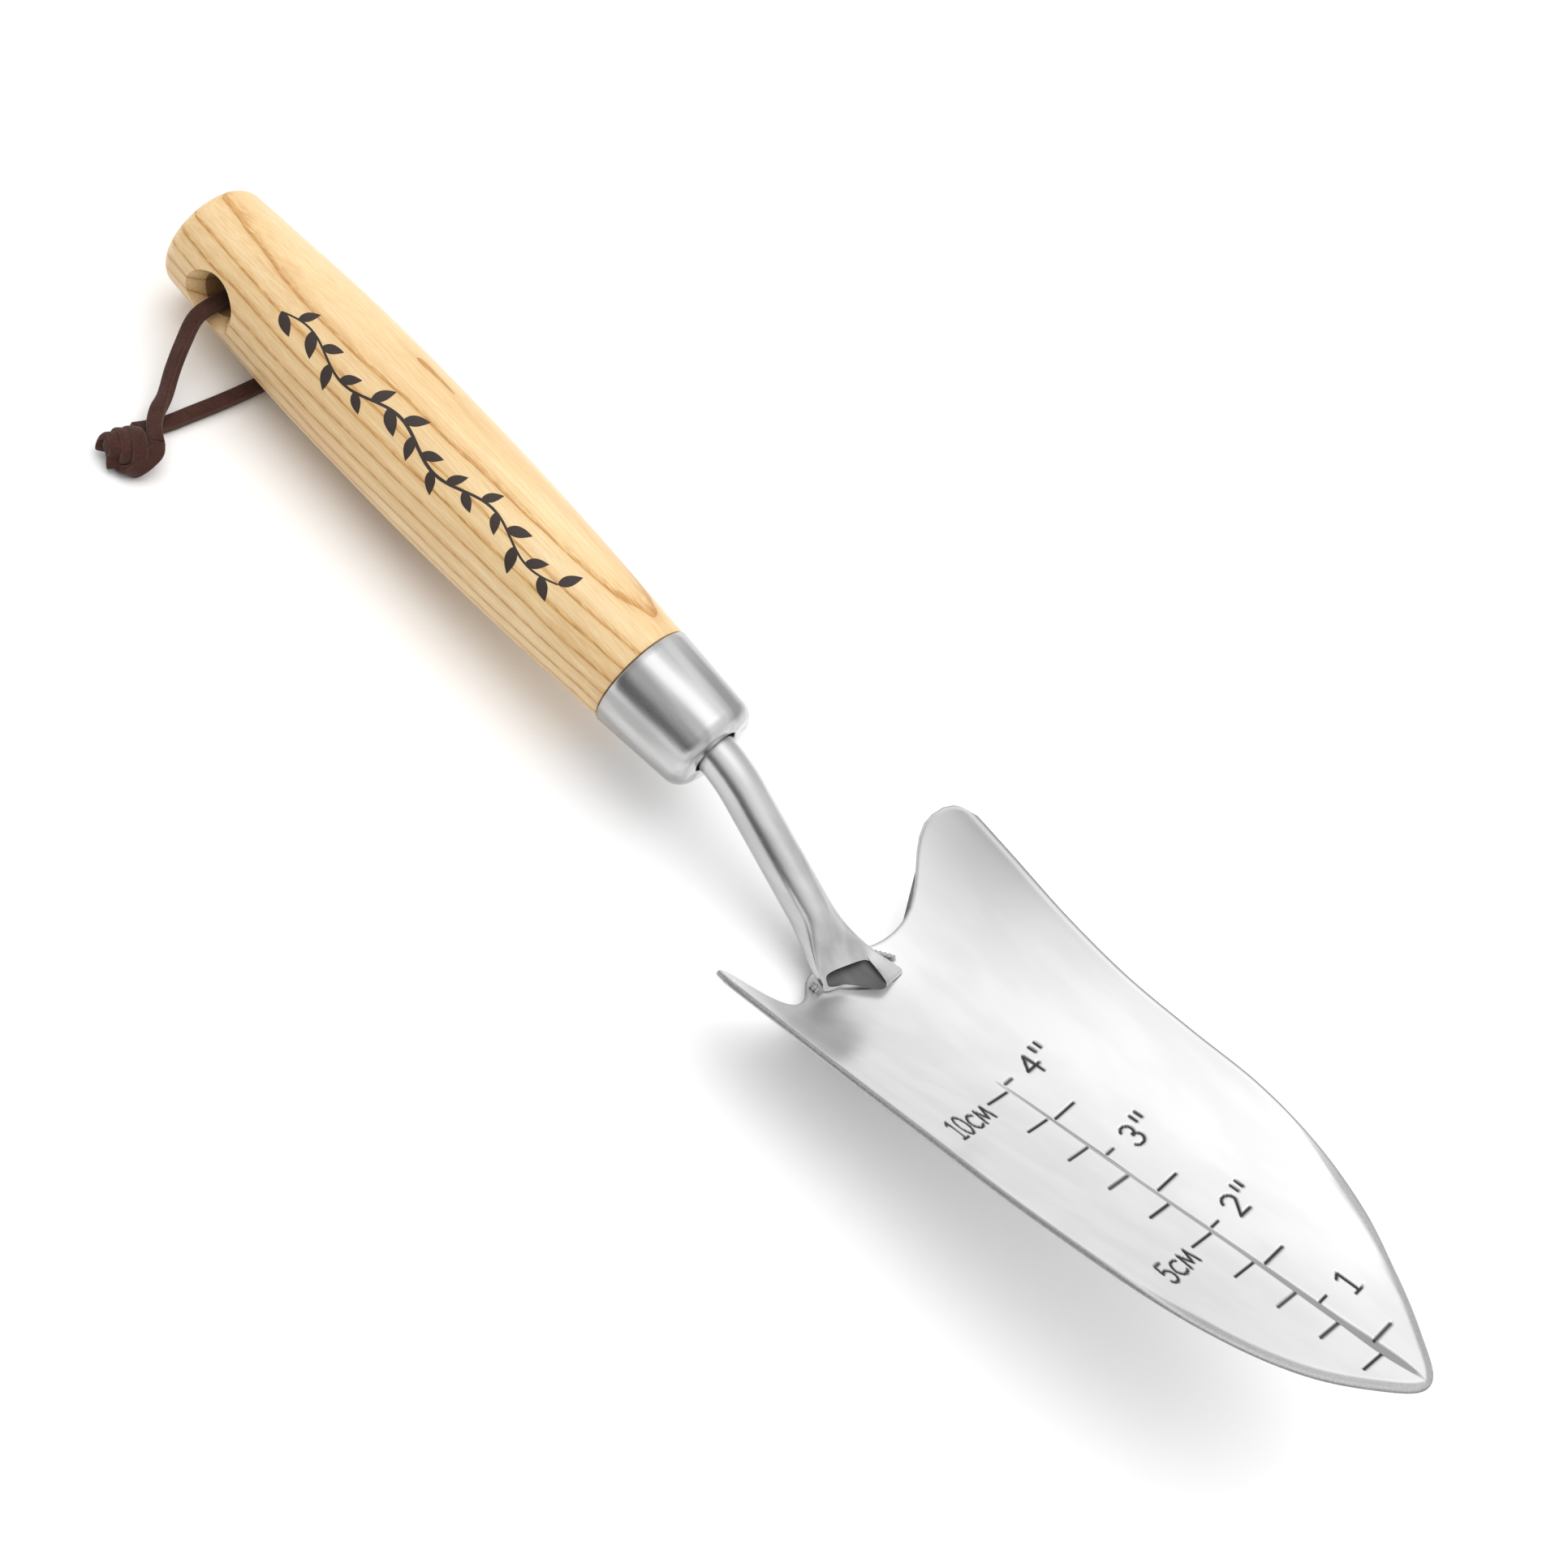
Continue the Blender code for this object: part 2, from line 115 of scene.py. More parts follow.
# %% World, lamp and floor
world = bpy.data.worlds.new("white room")
bpy.context.scene.world = world
world.use_nodes = True
sky = world.node_tree
background = sky.nodes["Background"]


def grey_ramp(tree, source, stops):
    """Greys that follow one value; stops are (place, grey) pairs."""
    ramp = tree.nodes.new("ShaderNodeValToRGB")
    elements = ramp.color_ramp.elements
    for stop, (place, grey) in ((elements[0], stops[0]), (elements[1], stops[-1])):
        stop.position, stop.color = place, (grey, grey, grey, 1.0)
    for place, grey in stops[1:-1]:
        elements.new(place).color = (grey, grey, grey, 1.0)
    tree.links.new(source, ramp.inputs["Fac"])
    return ramp.outputs["Color"]


def from_zero(tree, source):
    """Turn a value from -1 to 1 into one from 0 to 1."""
    change = tree.nodes.new("ShaderNodeMapRange")
    change.inputs["From Min"].default_value = -1.0
    tree.links.new(source, change.inputs["Value"])
    return change.outputs["Result"]


look = sky.nodes.new("ShaderNodeTexCoord")
split = sky.nodes.new("ShaderNodeSeparateXYZ")
sky.links.new(look.outputs["Generated"], split.inputs[0])
height = from_zero(sky, split.outputs["Z"])
side = from_zero(sky, split.outputs["Y"])
room = grey_ramp(sky, height, ((0.4, 0.66), (0.5, 0.8), (0.75, 0.9), (0.9, 1.0), (0.965, 1.3),
                               (1.0, 1.7)))
low_band = grey_ramp(sky, height, ((0.47, 0.0), (0.53, 0.9), (0.68, 0.85), (0.87, 0.0)))
front = grey_ramp(sky, side, ((0.1, 1.0), (0.36, 0.0)))
where_dark = sky.nodes.new("ShaderNodeMath")
where_dark.operation = "MULTIPLY"
sky.links.new(low_band, where_dark.inputs[0])
sky.links.new(front, where_dark.inputs[1])
room_colour = sky.nodes.new("ShaderNodeMixRGB")
room_colour.inputs["Color2"].default_value = (0.06, 0.06, 0.062, 1.0)
sky.links.new(where_dark.outputs[0], room_colour.inputs["Fac"])
sky.links.new(room, room_colour.inputs["Color1"])
sky.links.new(room_colour.outputs["Color"], background.inputs["Color"])
background.inputs["Strength"].default_value = 1.0
bpy.context.scene.view_settings.view_transform = "Standard"

lamp_data = bpy.data.lights.new("soft lamp", "AREA")
lamp_data.shape = "RECTANGLE"
lamp_data.size = 2.4
lamp_data.size_y = 2.0
lamp_data.energy = 15.0
lamp = add_object("soft lamp", lamp_data)
lamp.location = (-0.25, 0.2, 1.5)
lamp.rotation_euler = (Vector((0.0, 0.0, 0.0)) - lamp.location).to_track_quat("-Z", "Y").to_euler()
lamp.visible_glossy = False

floor_mesh = bpy.data.meshes.new("floor")
floor_mesh.from_pydata([(-4, -4, 0), (4, -4, 0), (4, 4, 0), (-4, 4, 0)], [], [(0, 1, 2, 3)])
floor = add_object("floor", floor_mesh)
floor_white = bpy.data.materials.new("floor white")
floor_white.use_nodes = True
floor_shader = floor_white.node_tree.nodes["Principled BSDF"]
floor_shader.inputs["Base Color"].default_value = (0.93, 0.93, 0.93, 1.0)
floor_shader.inputs["Roughness"].default_value = 0.9
floor_shader.inputs["Specular IOR Level"].default_value = 0.1
floor_mesh.materials.append(floor_white)
print("floor at z = 0, lamp", lamp_data.energy, "W")

# %% [markdown]
# ## Helpers
# Three small tools are used by every piece: a smooth curve through a few given
# stations, a way to turn points in the trowel's frame into a finished object, and a way
# to run a Geometry Nodes tree once and keep the mesh that it makes.


# %% Smooth curves and meshes
def smooth_through(points):
    """A smooth function through a few (station, value) pairs, level past its ends."""
    stations, values = np.array(points, dtype=float).T
    slopes = np.gradient(values, stations)

    def at(station):
        station = np.clip(station, stations[0], stations[-1])
        k = np.clip(np.searchsorted(stations, station) - 1, 0, len(stations) - 2)
        step = stations[k + 1] - stations[k]
        f = (station - stations[k]) / step
        return ((1 + 2 * f) * (1 - f) ** 2 * values[k] + f * (1 - f) ** 2 * step * slopes[k]
                + f * f * (3 - 2 * f) * values[k + 1] + f * f * (f - 1) * step * slopes[k + 1])

    return at


def ease(value):
    """Smooth step from 0 to 1 as value goes from 0 to 1."""
    value = np.clip(value, 0.0, 1.0)
    return value * value * (3 - 2 * value)


def new_piece(name, points_mm, faces, material):
    """An object from points in millimetres in the trowel's own frame, still at its origin."""
    mesh = bpy.data.meshes.new(name)
    mesh.from_pydata((np.asarray(points_mm, dtype=float) * MM).tolist(), [], faces)
    mesh.materials.append(material)
    piece = add_object(name, mesh)
    mesh.shade_smooth()
    return piece


def lay_in_place(piece):
    """Move a piece's points from the trowel's frame to the CAD frame."""
    piece.data.transform(trowel_frame)
    piece.data.update()


def outward(piece):
    """Merge doubles and point every face outwards."""
    shell = bmesh.new()
    shell.from_mesh(piece.data)
    bmesh.ops.remove_doubles(shell, verts=shell.verts, dist=0.000002)
    bmesh.ops.recalc_face_normals(shell, faces=shell.faces)
    if shell.calc_volume(signed=True) < 0:
        bmesh.ops.reverse_faces(shell, faces=shell.faces)
    shell.to_mesh(piece.data)
    shell.free()


def tube_faces(rings, around, closed=False):
    """Quads between rings of points; closed joins the last ring to the first."""
    count = rings if closed else rings - 1
    faces = []
    for ring in range(count):
        after = (ring + 1) % rings
        for k in range(around):
            faces.append((ring * around + k, ring * around + (k + 1) % around,
                          after * around + (k + 1) % around, after * around + k))
    return faces


def capped_tube(rings, around):
    """A tube's faces with a lid on each end."""
    last = (rings - 1) * around
    return tube_faces(rings, around) + [tuple(range(around)), tuple(range(last, last + around))]


# %% Nodes, and Geometry Nodes run once
def new_tree(name, inputs):
    """An empty Geometry Nodes tree with its named inputs."""
    tree = bpy.data.node_groups.new(name, "GeometryNodeTree")
    tree.interface.new_socket("Geometry", in_out="INPUT", socket_type="NodeSocketGeometry")
    for label, kind in inputs:
        tree.interface.new_socket(label, in_out="INPUT", socket_type="NodeSocket" + kind)
    tree.interface.new_socket("Geometry", in_out="OUTPUT", socket_type="NodeSocketGeometry")
    return tree


def node(tree, kind, links=(), **settings):
    """Add a node, set its choices, and link (input, source) pairs.

    A source is a plain value, a node's output, or a node, which stands for its first output.
    """
    made = tree.nodes.new(kind)
    for key, value in settings.items():
        setattr(made, key, value)
    for target, source in links:
        socket = made.inputs[target]
        if hasattr(source, "outputs"):
            source = source.outputs[0]
        if hasattr(source, "is_output"):
            tree.links.new(source, socket)
        else:
            socket.default_value = source
    return made


def maths(tree, operation, *values):
    return node(tree, "ShaderNodeMath", enumerate(values), operation=operation)


def vector_maths(tree, operation, *values):
    return node(tree, "ShaderNodeVectorMath", enumerate(values), operation=operation)


def noise(tree, place, scale, detail, roughness=0.5):
    return node(tree, "ShaderNodeTexNoise", [("Vector", place), ("Scale", scale),
                                             ("Detail", detail), ("Roughness", roughness)])


def map_range(tree, value, start=0.0, end=1.0, low=0.0, high=1.0, smooth=False):
    """Turn a value that runs from start to end into one that runs from low to high."""
    return node(tree, "ShaderNodeMapRange", [("Value", value), ("From Min", start),
                                             ("From Max", end), ("To Min", low),
                                             ("To Max", high)],
                interpolation_type="SMOOTHSTEP" if smooth else "LINEAR")


def end_tree(tree, geometry, material):
    """End a tree in real geometry with its material."""
    real = node(tree, "GeometryNodeRealizeInstances", [("Geometry", geometry)])
    painted = node(tree, "GeometryNodeSetMaterial", [("Geometry", real), ("Material", material)])
    node(tree, "NodeGroupOutput", [("Geometry", painted)])


def applied(thing):
    """The plain mesh that an object's modifiers make; the modifiers are removed."""
    evaluated = thing.evaluated_get(bpy.context.evaluated_depsgraph_get())
    mesh = bpy.data.meshes.new_from_object(evaluated)
    thing.modifiers.clear()
    return mesh


def run_tree(thing, tree, values):
    """Run a tree on an object with its inputs set, and return the mesh it makes."""
    modifier = thing.modifiers.new(tree.name, "NODES")
    modifier.node_group = tree
    for item in tree.interface.items_tree:
        if item.in_out == "INPUT" and item.name in values:
            modifier[item.identifier] = values[item.name]
    return applied(thing)


# %% [markdown]
# ## Finishes
# Steel on this tool is brushed along its length, and the strokes are finer than a hair.
# They are noise stretched along one axis, which changes the roughness a little and lifts
# the surface by a few thousandths of a millimetre. Every steel here uses such strokes, so
# they are one shader group with its own inputs.

# %% Shader helpers
def new_material(name, colour, roughness, metallic=0.0):
    material = bpy.data.materials.new(name)
    material.use_nodes = True
    shader = material.node_tree.nodes["Principled BSDF"]
    shader.inputs["Base Color"].default_value = (*colour, 1.0)
    shader.inputs["Roughness"].default_value = roughness
    shader.inputs["Metallic"].default_value = metallic
    return material, material.node_tree, shader


def new_group(name, inputs, outputs):
    group = bpy.data.node_groups.new(name, "ShaderNodeTree")
    for label, kind, value in inputs:
        socket = group.interface.new_socket(label, in_out="INPUT", socket_type="NodeSocket" + kind)
        socket.default_value = value
    for label, kind in outputs:
        group.interface.new_socket(label, in_out="OUTPUT", socket_type="NodeSocket" + kind)
    return group, group.nodes.new("NodeGroupInput"), group.nodes.new("NodeGroupOutput")


def place_group(tree, group, values):
    made = tree.nodes.new("ShaderNodeGroup")
    made.node_tree = group
    for label, value in values.items():
        made.inputs[label].default_value = value
    return made


def bump(tree, height, distance, strength=1.0):
    return node(tree, "ShaderNodeBump",
                [("Height", height), ("Distance", distance), ("Strength", strength)])


# %% Brushed strokes, a group
brushing, given, out = new_group(
    "brushed strokes",
    [("Stretch", "Vector", (60.0, 2600.0, 2600.0)), ("Base Roughness", "Float", 0.25),
     ("Variation", "Float", 0.08)],
    [("Roughness", "Float"), ("Height", "Float"), ("Smear", "Float")])
spot = node(brushing, "ShaderNodeTexCoord")
stretched = vector_maths(brushing, "MULTIPLY", spot.outputs["Object"], given.outputs["Stretch"])
strokes = noise(brushing, stretched, 1.0, 3.0, 0.6)
cloud = noise(brushing, spot.outputs["Object"], 38.0, 2.0)
both = maths(brushing, "ADD", strokes.outputs["Fac"], cloud.outputs["Fac"])
swing = maths(brushing, "SUBTRACT", both, 1.0)
scaled = maths(brushing, "MULTIPLY_ADD", swing, given.outputs["Variation"],
               given.outputs["Base Roughness"])
brushing.links.new(scaled.outputs[0], out.inputs["Roughness"])
brushing.links.new(strokes.outputs["Fac"], out.inputs["Height"])
long_spot = vector_maths(brushing, "MULTIPLY", spot.outputs["Object"], (16.0, 150.0, 150.0))
long_cloud = noise(brushing, long_spot, 1.0, 2.0)
smear = map_range(brushing, long_cloud.outputs["Fac"], start=0.36, end=0.62, smooth=True)
brushing.links.new(smear.outputs[0], out.inputs["Smear"])


# %% Mixing two colours
def colour_mix(tree, factor, first, second, mode="MIX"):
    """Mix two colours; either may be a colour or another node's output."""
    mix = tree.nodes.new("ShaderNodeMix")
    mix.data_type = "RGBA"
    mix.blend_type = mode
    sockets = [s for s in mix.inputs if s.type == "RGBA"]
    for socket, value in zip((mix.inputs["Factor"], *sockets), (factor, first, second)):
        if hasattr(value, "is_output"):
            tree.links.new(value, socket)
        else:
            socket.default_value = value
    return [s for s in mix.outputs if s.type == "RGBA"][0]


# %% Steel finishes
def steel(name, grey, roughness, variation, stretch, depth, smear):
    """Brushed steel with strokes along X, and handling smears that darken it by a share."""
    material, tree, shader = new_material(name, (grey, grey, grey * 1.005), roughness, 1.0)
    group = place_group(tree, brushing, {"Base Roughness": roughness, "Variation": variation,
                                         "Stretch": stretch})
    dull = grey * (1.0 - smear)
    colour = colour_mix(tree, group.outputs["Smear"], (dull, dull, dull, 1.0),
                        (grey, grey, grey * 1.005, 1.0))
    tree.links.new(colour, shader.inputs["Base Color"])
    tree.links.new(group.outputs["Roughness"], shader.inputs["Roughness"])
    lifted = bump(tree, group.outputs["Height"], depth)
    tree.links.new(lifted.outputs["Normal"], shader.inputs["Normal"])
    return material, tree, shader, group, colour


ferrule_steel = steel("spun ferrule steel", 0.66, 0.26, 0.1, (200.0, 1500.0, 1500.0), 0.000008,
                      0.45)[0]
neck_steel = steel("drawn tube steel", 0.6, 0.25, 0.1, (120.0, 2200.0, 2200.0), 0.000008, 0.22)[0]
# The tube's inside is painted dark grey: painted shade inside the tube, with the rougher finish of
# a raw bore.
bore_shade_steel = steel("tube bore painted shade", 0.2, 0.55, 0.1, (300.0, 900.0, 900.0), 0.00003, 0.3)[0]
weld_steel = steel("weld bead", 0.46, 0.34, 0.25, (1800.0, 1800.0, 1800.0), 0.00008, 0.5)[0]
print("steels", [m.name for m in (ferrule_steel, neck_steel, weld_steel)])

# %% [markdown]
# The blade's steel also has to show three kinds of mark that are in its surface: the
# stamped ruler, the line down its middle, and the band that was ground along its edge.
# Each is an attribute of the mesh, from 0 to 1, so the marks and their shading agree.
# The dark colour they get is partly painted light. The ruler's near-black is partly etched
# colour and partly a painted dark reflection. The middle line's dark is painted shade in its
# groove. The ground band and the sheet's rim are painted darker for the shade and dark
# reflection on the bevel.

# %% Blade steel
blade_steel, tree, shader, group, plain_colour = steel(
    "blade steel", 0.91, 0.31, 0.05, (50.0, 900.0, 900.0), 0.000004, 0.05)
stamped_and_shade = node(tree, "ShaderNodeAttribute", attribute_name="stamped_and_shade")
ground_and_shade = node(tree, "ShaderNodeAttribute", attribute_name="ground_and_shade")
grit_spot = node(tree, "ShaderNodeTexCoord")
grit = noise(tree, grit_spot.outputs["Object"], 2600.0, 2.0)
# Near black on the marks: the ruler's strokes get partly an etched colour and partly a painted dark
# reflection, and the middle line gets painted shade in its groove.
mark_and_shade_colour = colour_mix(tree, stamped_and_shade.outputs["Fac"], plain_colour, (0.06, 0.06, 0.062, 1.0))
# The ground band and the sheet's rim are painted dark grey with grit: painted shade and dark
# reflection on the bevel.
edge_shade_colour = colour_mix(tree, grit.outputs["Fac"], (0.2, 0.2, 0.2, 1.0), (0.5, 0.5, 0.5, 1.0))
ground_shade_colour = colour_mix(tree, ground_and_shade.outputs["Fac"], mark_and_shade_colour, edge_shade_colour)
tree.links.new(ground_shade_colour, shader.inputs["Base Color"])
worn = maths(tree, "MAXIMUM", stamped_and_shade.outputs["Fac"], ground_and_shade.outputs["Fac"])
rougher = maths(tree, "MULTIPLY_ADD", worn, 0.22, group.outputs["Roughness"])
tree.links.new(rougher.outputs[0], shader.inputs["Roughness"])
rubbed = maths(tree, "MULTIPLY", worn, grit.outputs["Fac"])
fine = bump(tree, group.outputs["Height"], 0.000004)
coarse = bump(tree, rubbed.outputs[0], 0.00008)
tree.links.new(fine.outputs["Normal"], coarse.inputs["Normal"])
tree.links.new(coarse.outputs["Normal"], shader.inputs["Normal"])

# %% [markdown]
# ## The blade
# The real blade is one sheet, pressed into a scoop that is deepest at its heel.
# The CAD piece has the right shape, but too few points to hold a stamped figure less than
# a millimetre wide. The same rules for width, floor and rim are used
# again here on a much finer grid, dense along the ruler and at the rims, and open
# elsewhere. The underside follows the same points one sheet below, with fewer columns.

# %% The blade's shape
HEEL = 68.0
BLADE_LENGTH = 142.0
BLADE_HALF_WIDTH = 39.2
SHEET = 1.5
WING_SWEEP = 9.0
DISH_POWER = 1.85
DISH_SOFTNESS = 0.12
TIP_RISE = 20.5
HEEL_DROP = 22.6
TIP = HEEL + BLADE_LENGTH
half_widths = smooth_through(((0.0, 0.0), (0.21, 0.215), (0.355, 0.437), (0.467, 0.605),
                              (0.57, 0.724), (0.669, 0.792), (0.752, 0.815), (0.829, 0.834),
                              (0.9, 0.878), (0.97, 0.938), (1.035, 1.0)))
floor_heights = smooth_through(((0.0, 1.0), (0.146, 0.868), (0.282, 0.737), (0.416, 0.601),
                                (0.551, 0.469), (0.687, 0.332), (0.82, 0.176), (0.915, 0.06),
                                (1.0, 0.0), (1.08, -0.012)))
rim_heights = smooth_through(((0.0, 1.0), (0.06, 0.956), (0.126, 0.921), (0.218, 0.903),
                              (0.325, 0.87), (0.447, 0.81), (0.565, 0.722), (0.687, 0.647),
                              (0.811, 0.598), (0.94, 0.57), (1.08, 0.535)))
heel_sweep = smooth_through(((0.0, 0.12), (0.16, 0.05), (0.3, -0.3), (0.44, -0.38),
                             (0.54, -0.25), (0.65, 0.15), (0.747, 0.66), (0.82, 0.95),
                             (0.88, 1.0), (0.94, 0.88), (0.98, 0.6), (1.0, 0.2)))


def from_tip(x):
    return (TIP - x) / BLADE_LENGTH


def half_width(x):
    return BLADE_HALF_WIDTH * half_widths(np.sqrt(np.maximum(from_tip(x), 0.0)))


def blade_height(x, across):
    rise = TIP_RISE + HEEL_DROP
    bottom = rise * floor_heights(from_tip(x)) - HEEL_DROP
    rim = rise * rim_heights(from_tip(x)) - HEEL_DROP
    soft = DISH_SOFTNESS ** DISH_POWER
    dish = ((across ** 2 + DISH_SOFTNESS ** 2) ** (DISH_POWER / 2) - soft) / (
        (1 + DISH_SOFTNESS ** 2) ** (DISH_POWER / 2) - soft)
    return bottom + (rim - bottom) * dish


def blade_surface(x, y):
    return blade_height(x, y / np.maximum(half_width(x), 1.0))


def heel_edge(share):
    return HEEL - WING_SWEEP * heel_sweep(np.abs(share))


print("blade", BLADE_LENGTH, "mm long,", 2 * BLADE_HALF_WIDTH, "mm wide at the heel")

# %% A fine grid over the blade
def half_columns(fine_to):
    """Shares of the half width: very fine at the middle line, fine as far as the ruler."""
    return np.concatenate([np.arange(0.0, 0.018, 0.0036), np.arange(0.018, fine_to, 0.0092),
                           np.linspace(fine_to, 0.93, 10), np.linspace(0.937, 0.982, 6),
                           np.linspace(0.986, 1.0, 5)])


columns = np.concatenate([-half_columns(0.76)[:0:-1], half_columns(0.5)])
nose_rows = (np.arange(1, 9) / 8.0) ** 2 * 0.0022
ruler_rows = np.linspace(0.0022, 0.775, 330)[1:]
heel_rows = 1.0 - np.linspace(1.0, 0.0, 44)[1:] ** 1.2 * 0.225
rows = np.concatenate([nose_rows, ruler_rows, heel_rows])
row_share = rows[:, None]
share = np.broadcast_to(columns[None, :], (len(rows), len(columns)))
heel_line = heel_edge(columns)[None, :]
# Rows are straight under the ruler and lean with its centimetre ticks, so that a tick lies
# along one. The last rows bend to the heel.
RULER_SHARE = 0.775
TICK_SLANT = 0.08
TICK_GAP = 0.95
TICK_LENGTH = 5.95
bending = np.clip((row_share - RULER_SHARE) / (1.0 - RULER_SHARE), 0.0, 1.0) ** 1.5
straight_x = TIP - (TIP - HEEL) * row_share
leaning = TICK_SLANT * np.clip(share * half_width(straight_x) + TICK_GAP, -TICK_LENGTH, 0.0)
grid_x = straight_x + leaning * (1.0 - bending) + (heel_line - HEEL) * bending
grid_y = share * half_width(grid_x)
grid_z = blade_height(grid_x, share)
print("blade grid", grid_x.shape)

# %% Rounded rims and the ground edge
EDGE_ROUND = 0.7
GRIND_WIDTH = 2.2
GRIND_DEPTH = 0.5
width_slope = np.gradient(half_width(np.linspace(HEEL - 10, TIP, 600)),
                          np.linspace(HEEL - 10, TIP, 600))
rim_turn = 1.0 / np.sqrt(1.0 + np.interp(grid_x, np.linspace(HEEL - 10, TIP, 600),
                                         width_slope) ** 2)
side_distance = (1.0 - np.abs(share)) * half_width(grid_x) * rim_turn
heel_distance = grid_x - heel_line
edge_distance = np.minimum(side_distance, heel_distance)
round_off = 0.42 * np.clip(1.0 - edge_distance / EDGE_ROUND, 0.0, 1.0) ** 2
grind_reach = ease((grid_x - (TIP - 62.0)) / 26.0)
grind = np.clip(1.0 - side_distance / (GRIND_WIDTH * grind_reach + 0.001), 0.0, 1.0)
grind_drop = GRIND_DEPTH * grind * grind_reach
cut_rim = np.clip(1.25 - edge_distance / 0.45, 0.0, 1.0)

# %% The line down the middle
line_width = smooth_through(((110.6, 0.30), (140.0, 0.36), (170.0, 0.55), (190.0, 0.8),
                             (203.0, 0.95), (209.4, 0.15)))
line_depth = smooth_through(((109.9, 0.0), (111.0, 0.12), (150.0, 0.14), (185.0, 0.24),
                             (203.0, 0.24), (209.6, 0.0)))
line_place = smooth_through(((110.6, -0.05), (160.0, -0.15), (198.0, -0.05), (205.0, 0.2),
                             (209.4, 0.15)))
off_line = np.abs(grid_y - line_place(grid_x)) / line_width(grid_x)
in_line = 1.0 - ease((off_line - 0.75) / 0.5)
line_drop = line_depth(grid_x) * in_line
# How dark the middle line is painted: painted shade in its groove, darker where the groove is
# deeper.
line_shade = in_line * np.clip(line_depth(grid_x) / 0.12, 0.0, 1.0) * np.interp(
    grid_x, [112.0, 150.0, 190.0], [0.35, 0.5, 0.62])

# %% Top, underside and rim of the sheet
def grid_normals(x, y, z):
    across = np.stack([np.gradient(v, axis=1) for v in (x, y, z)], axis=-1)
    back = np.stack([np.gradient(v, axis=0) for v in (x, y, z)], axis=-1)
    normal = np.cross(across, back)
    normal /= np.maximum(np.linalg.norm(normal, axis=-1, keepdims=True), 1e-9)
    return normal * np.sign(normal[..., 2:3])


sheet_normal = grid_normals(grid_x, grid_y, grid_z)
plain_top = np.stack([grid_x, grid_y, grid_z], axis=-1)
top = plain_top - sheet_normal * (round_off + grind_drop + line_drop)[..., None]
low_columns = np.unique(np.concatenate([np.arange(0, len(columns), 6),
                                        np.arange(len(columns) - 6, len(columns)),
                                        np.arange(0, 6), [len(columns) - 1]]))
under = (plain_top - sheet_normal * (SHEET - round_off)[..., None])[:, low_columns]
tip_top = np.array([[TIP, 0.0, float(blade_height(TIP, 0.0)) - 0.6]])
tip_under = tip_top + np.array([[0.3, 0.0, -0.6]])
points = np.concatenate([tip_top, top.reshape(-1, 3), tip_under, under.reshape(-1, 3)])

wide, deep, narrow = len(columns), len(rows), len(low_columns)
first_under = 1 + wide * deep
faces = [(0, 1 + k, 2 + k) for k in range(wide - 1)]
for row in range(deep - 1):
    a = 1 + row * wide
    faces += [(a + k, a + k + wide, a + k + wide + 1, a + k + 1) for k in range(wide - 1)]
faces += [(first_under, first_under + 2 + k, first_under + 1 + k) for k in range(narrow - 1)]
for row in range(deep - 1):
    a = first_under + 1 + row * narrow
    faces += [(a + k, a + k + 1, a + k + narrow + 1, a + k + narrow) for k in range(narrow - 1)]
for row in range(deep - 1):
    a = 1 + row * wide
    b = first_under + 1 + row * narrow
    faces.append((a, b, b + narrow, a + wide))
    faces.append((a + wide - 1, a + 2 * wide - 1, b + 2 * narrow - 1, b + narrow - 1))
faces.append((0, first_under, first_under + 1, 1))
faces.append((0, wide, first_under + narrow, first_under))
last_top = 1 + (deep - 1) * wide
last_under = first_under + 1 + (deep - 1) * narrow
for k in range(narrow - 1):
    upper = [last_top + j for j in range(low_columns[k], low_columns[k + 1] + 1)]
    faces.append(tuple(upper[::-1]) + (last_under + k, last_under + k + 1))
blade = new_piece("blade_dished", points, faces, blade_steel)


def store(piece, name, values):
    """Keep one number for each point of a piece."""
    attribute = piece.data.attributes.new(name, "FLOAT", "POINT")
    attribute.data.foreach_set("value", np.asarray(values, dtype=np.float32))


blank = np.zeros(1 + under.shape[0] * under.shape[1])
# Where the blade is painted darker along the ground band and the rim, as painted shade and dark
# reflection on the bevel; the same values also make it rougher.
ground_and_rim_shade = np.maximum(0.75 * ease(grind * 3.0) * grind_reach, cut_rim)
store(blade, "ground_and_shade", np.concatenate([[1.0], ground_and_rim_shade.ravel(), [1.0],
                                       cut_rim[:, low_columns].ravel()]))
store(blade, "stamped_and_shade", np.concatenate([[0.0], line_shade.ravel(), blank]))
outward(blade)
print("blade", len(blade.data.vertices), "points,", len(blade.data.polygons), "faces")

# %% [markdown]
# ## The stamped ruler
# The scoop carries a ruler from its tip: centimetres on one side of the line, inches on
# the other. It was stamped with the sheet still flat, so its divisions run along the
# slope and look a little shorter from above.
# The ticks repeat, so Geometry Nodes draw them: a row of points, each pulled out into one
# line, and every second inch tick is shorter. The figures are strokes of a plain pen alphabet.
# A second tree then presses all these lines into the blade.

# %% Ticks, drawn by Geometry Nodes
ticks = new_tree("ruler ticks", [("First", "Float"), ("Spacing", "Float"), ("Count", "Int"),
                                 ("Gap", "Float"), ("Odd Length", "Float"),
                                 ("Even Length", "Float"), ("Slant", "Float"),
                                 ("Material", "Material")])
given = node(ticks, "NodeGroupInput").outputs
backward = maths(ticks, "MULTIPLY", given["Spacing"], -1.0)
start = node(ticks, "ShaderNodeCombineXYZ", [("X", given["First"]), ("Y", given["Gap"])])
stride = node(ticks, "ShaderNodeCombineXYZ", [("X", backward)])
row_of = node(ticks, "GeometryNodeMeshLine",
              [("Count", given["Count"]), ("Start Location", start),
               ("Offset", stride)])
loose = node(ticks, "GeometryNodeMeshToPoints", [("Mesh", row_of)])
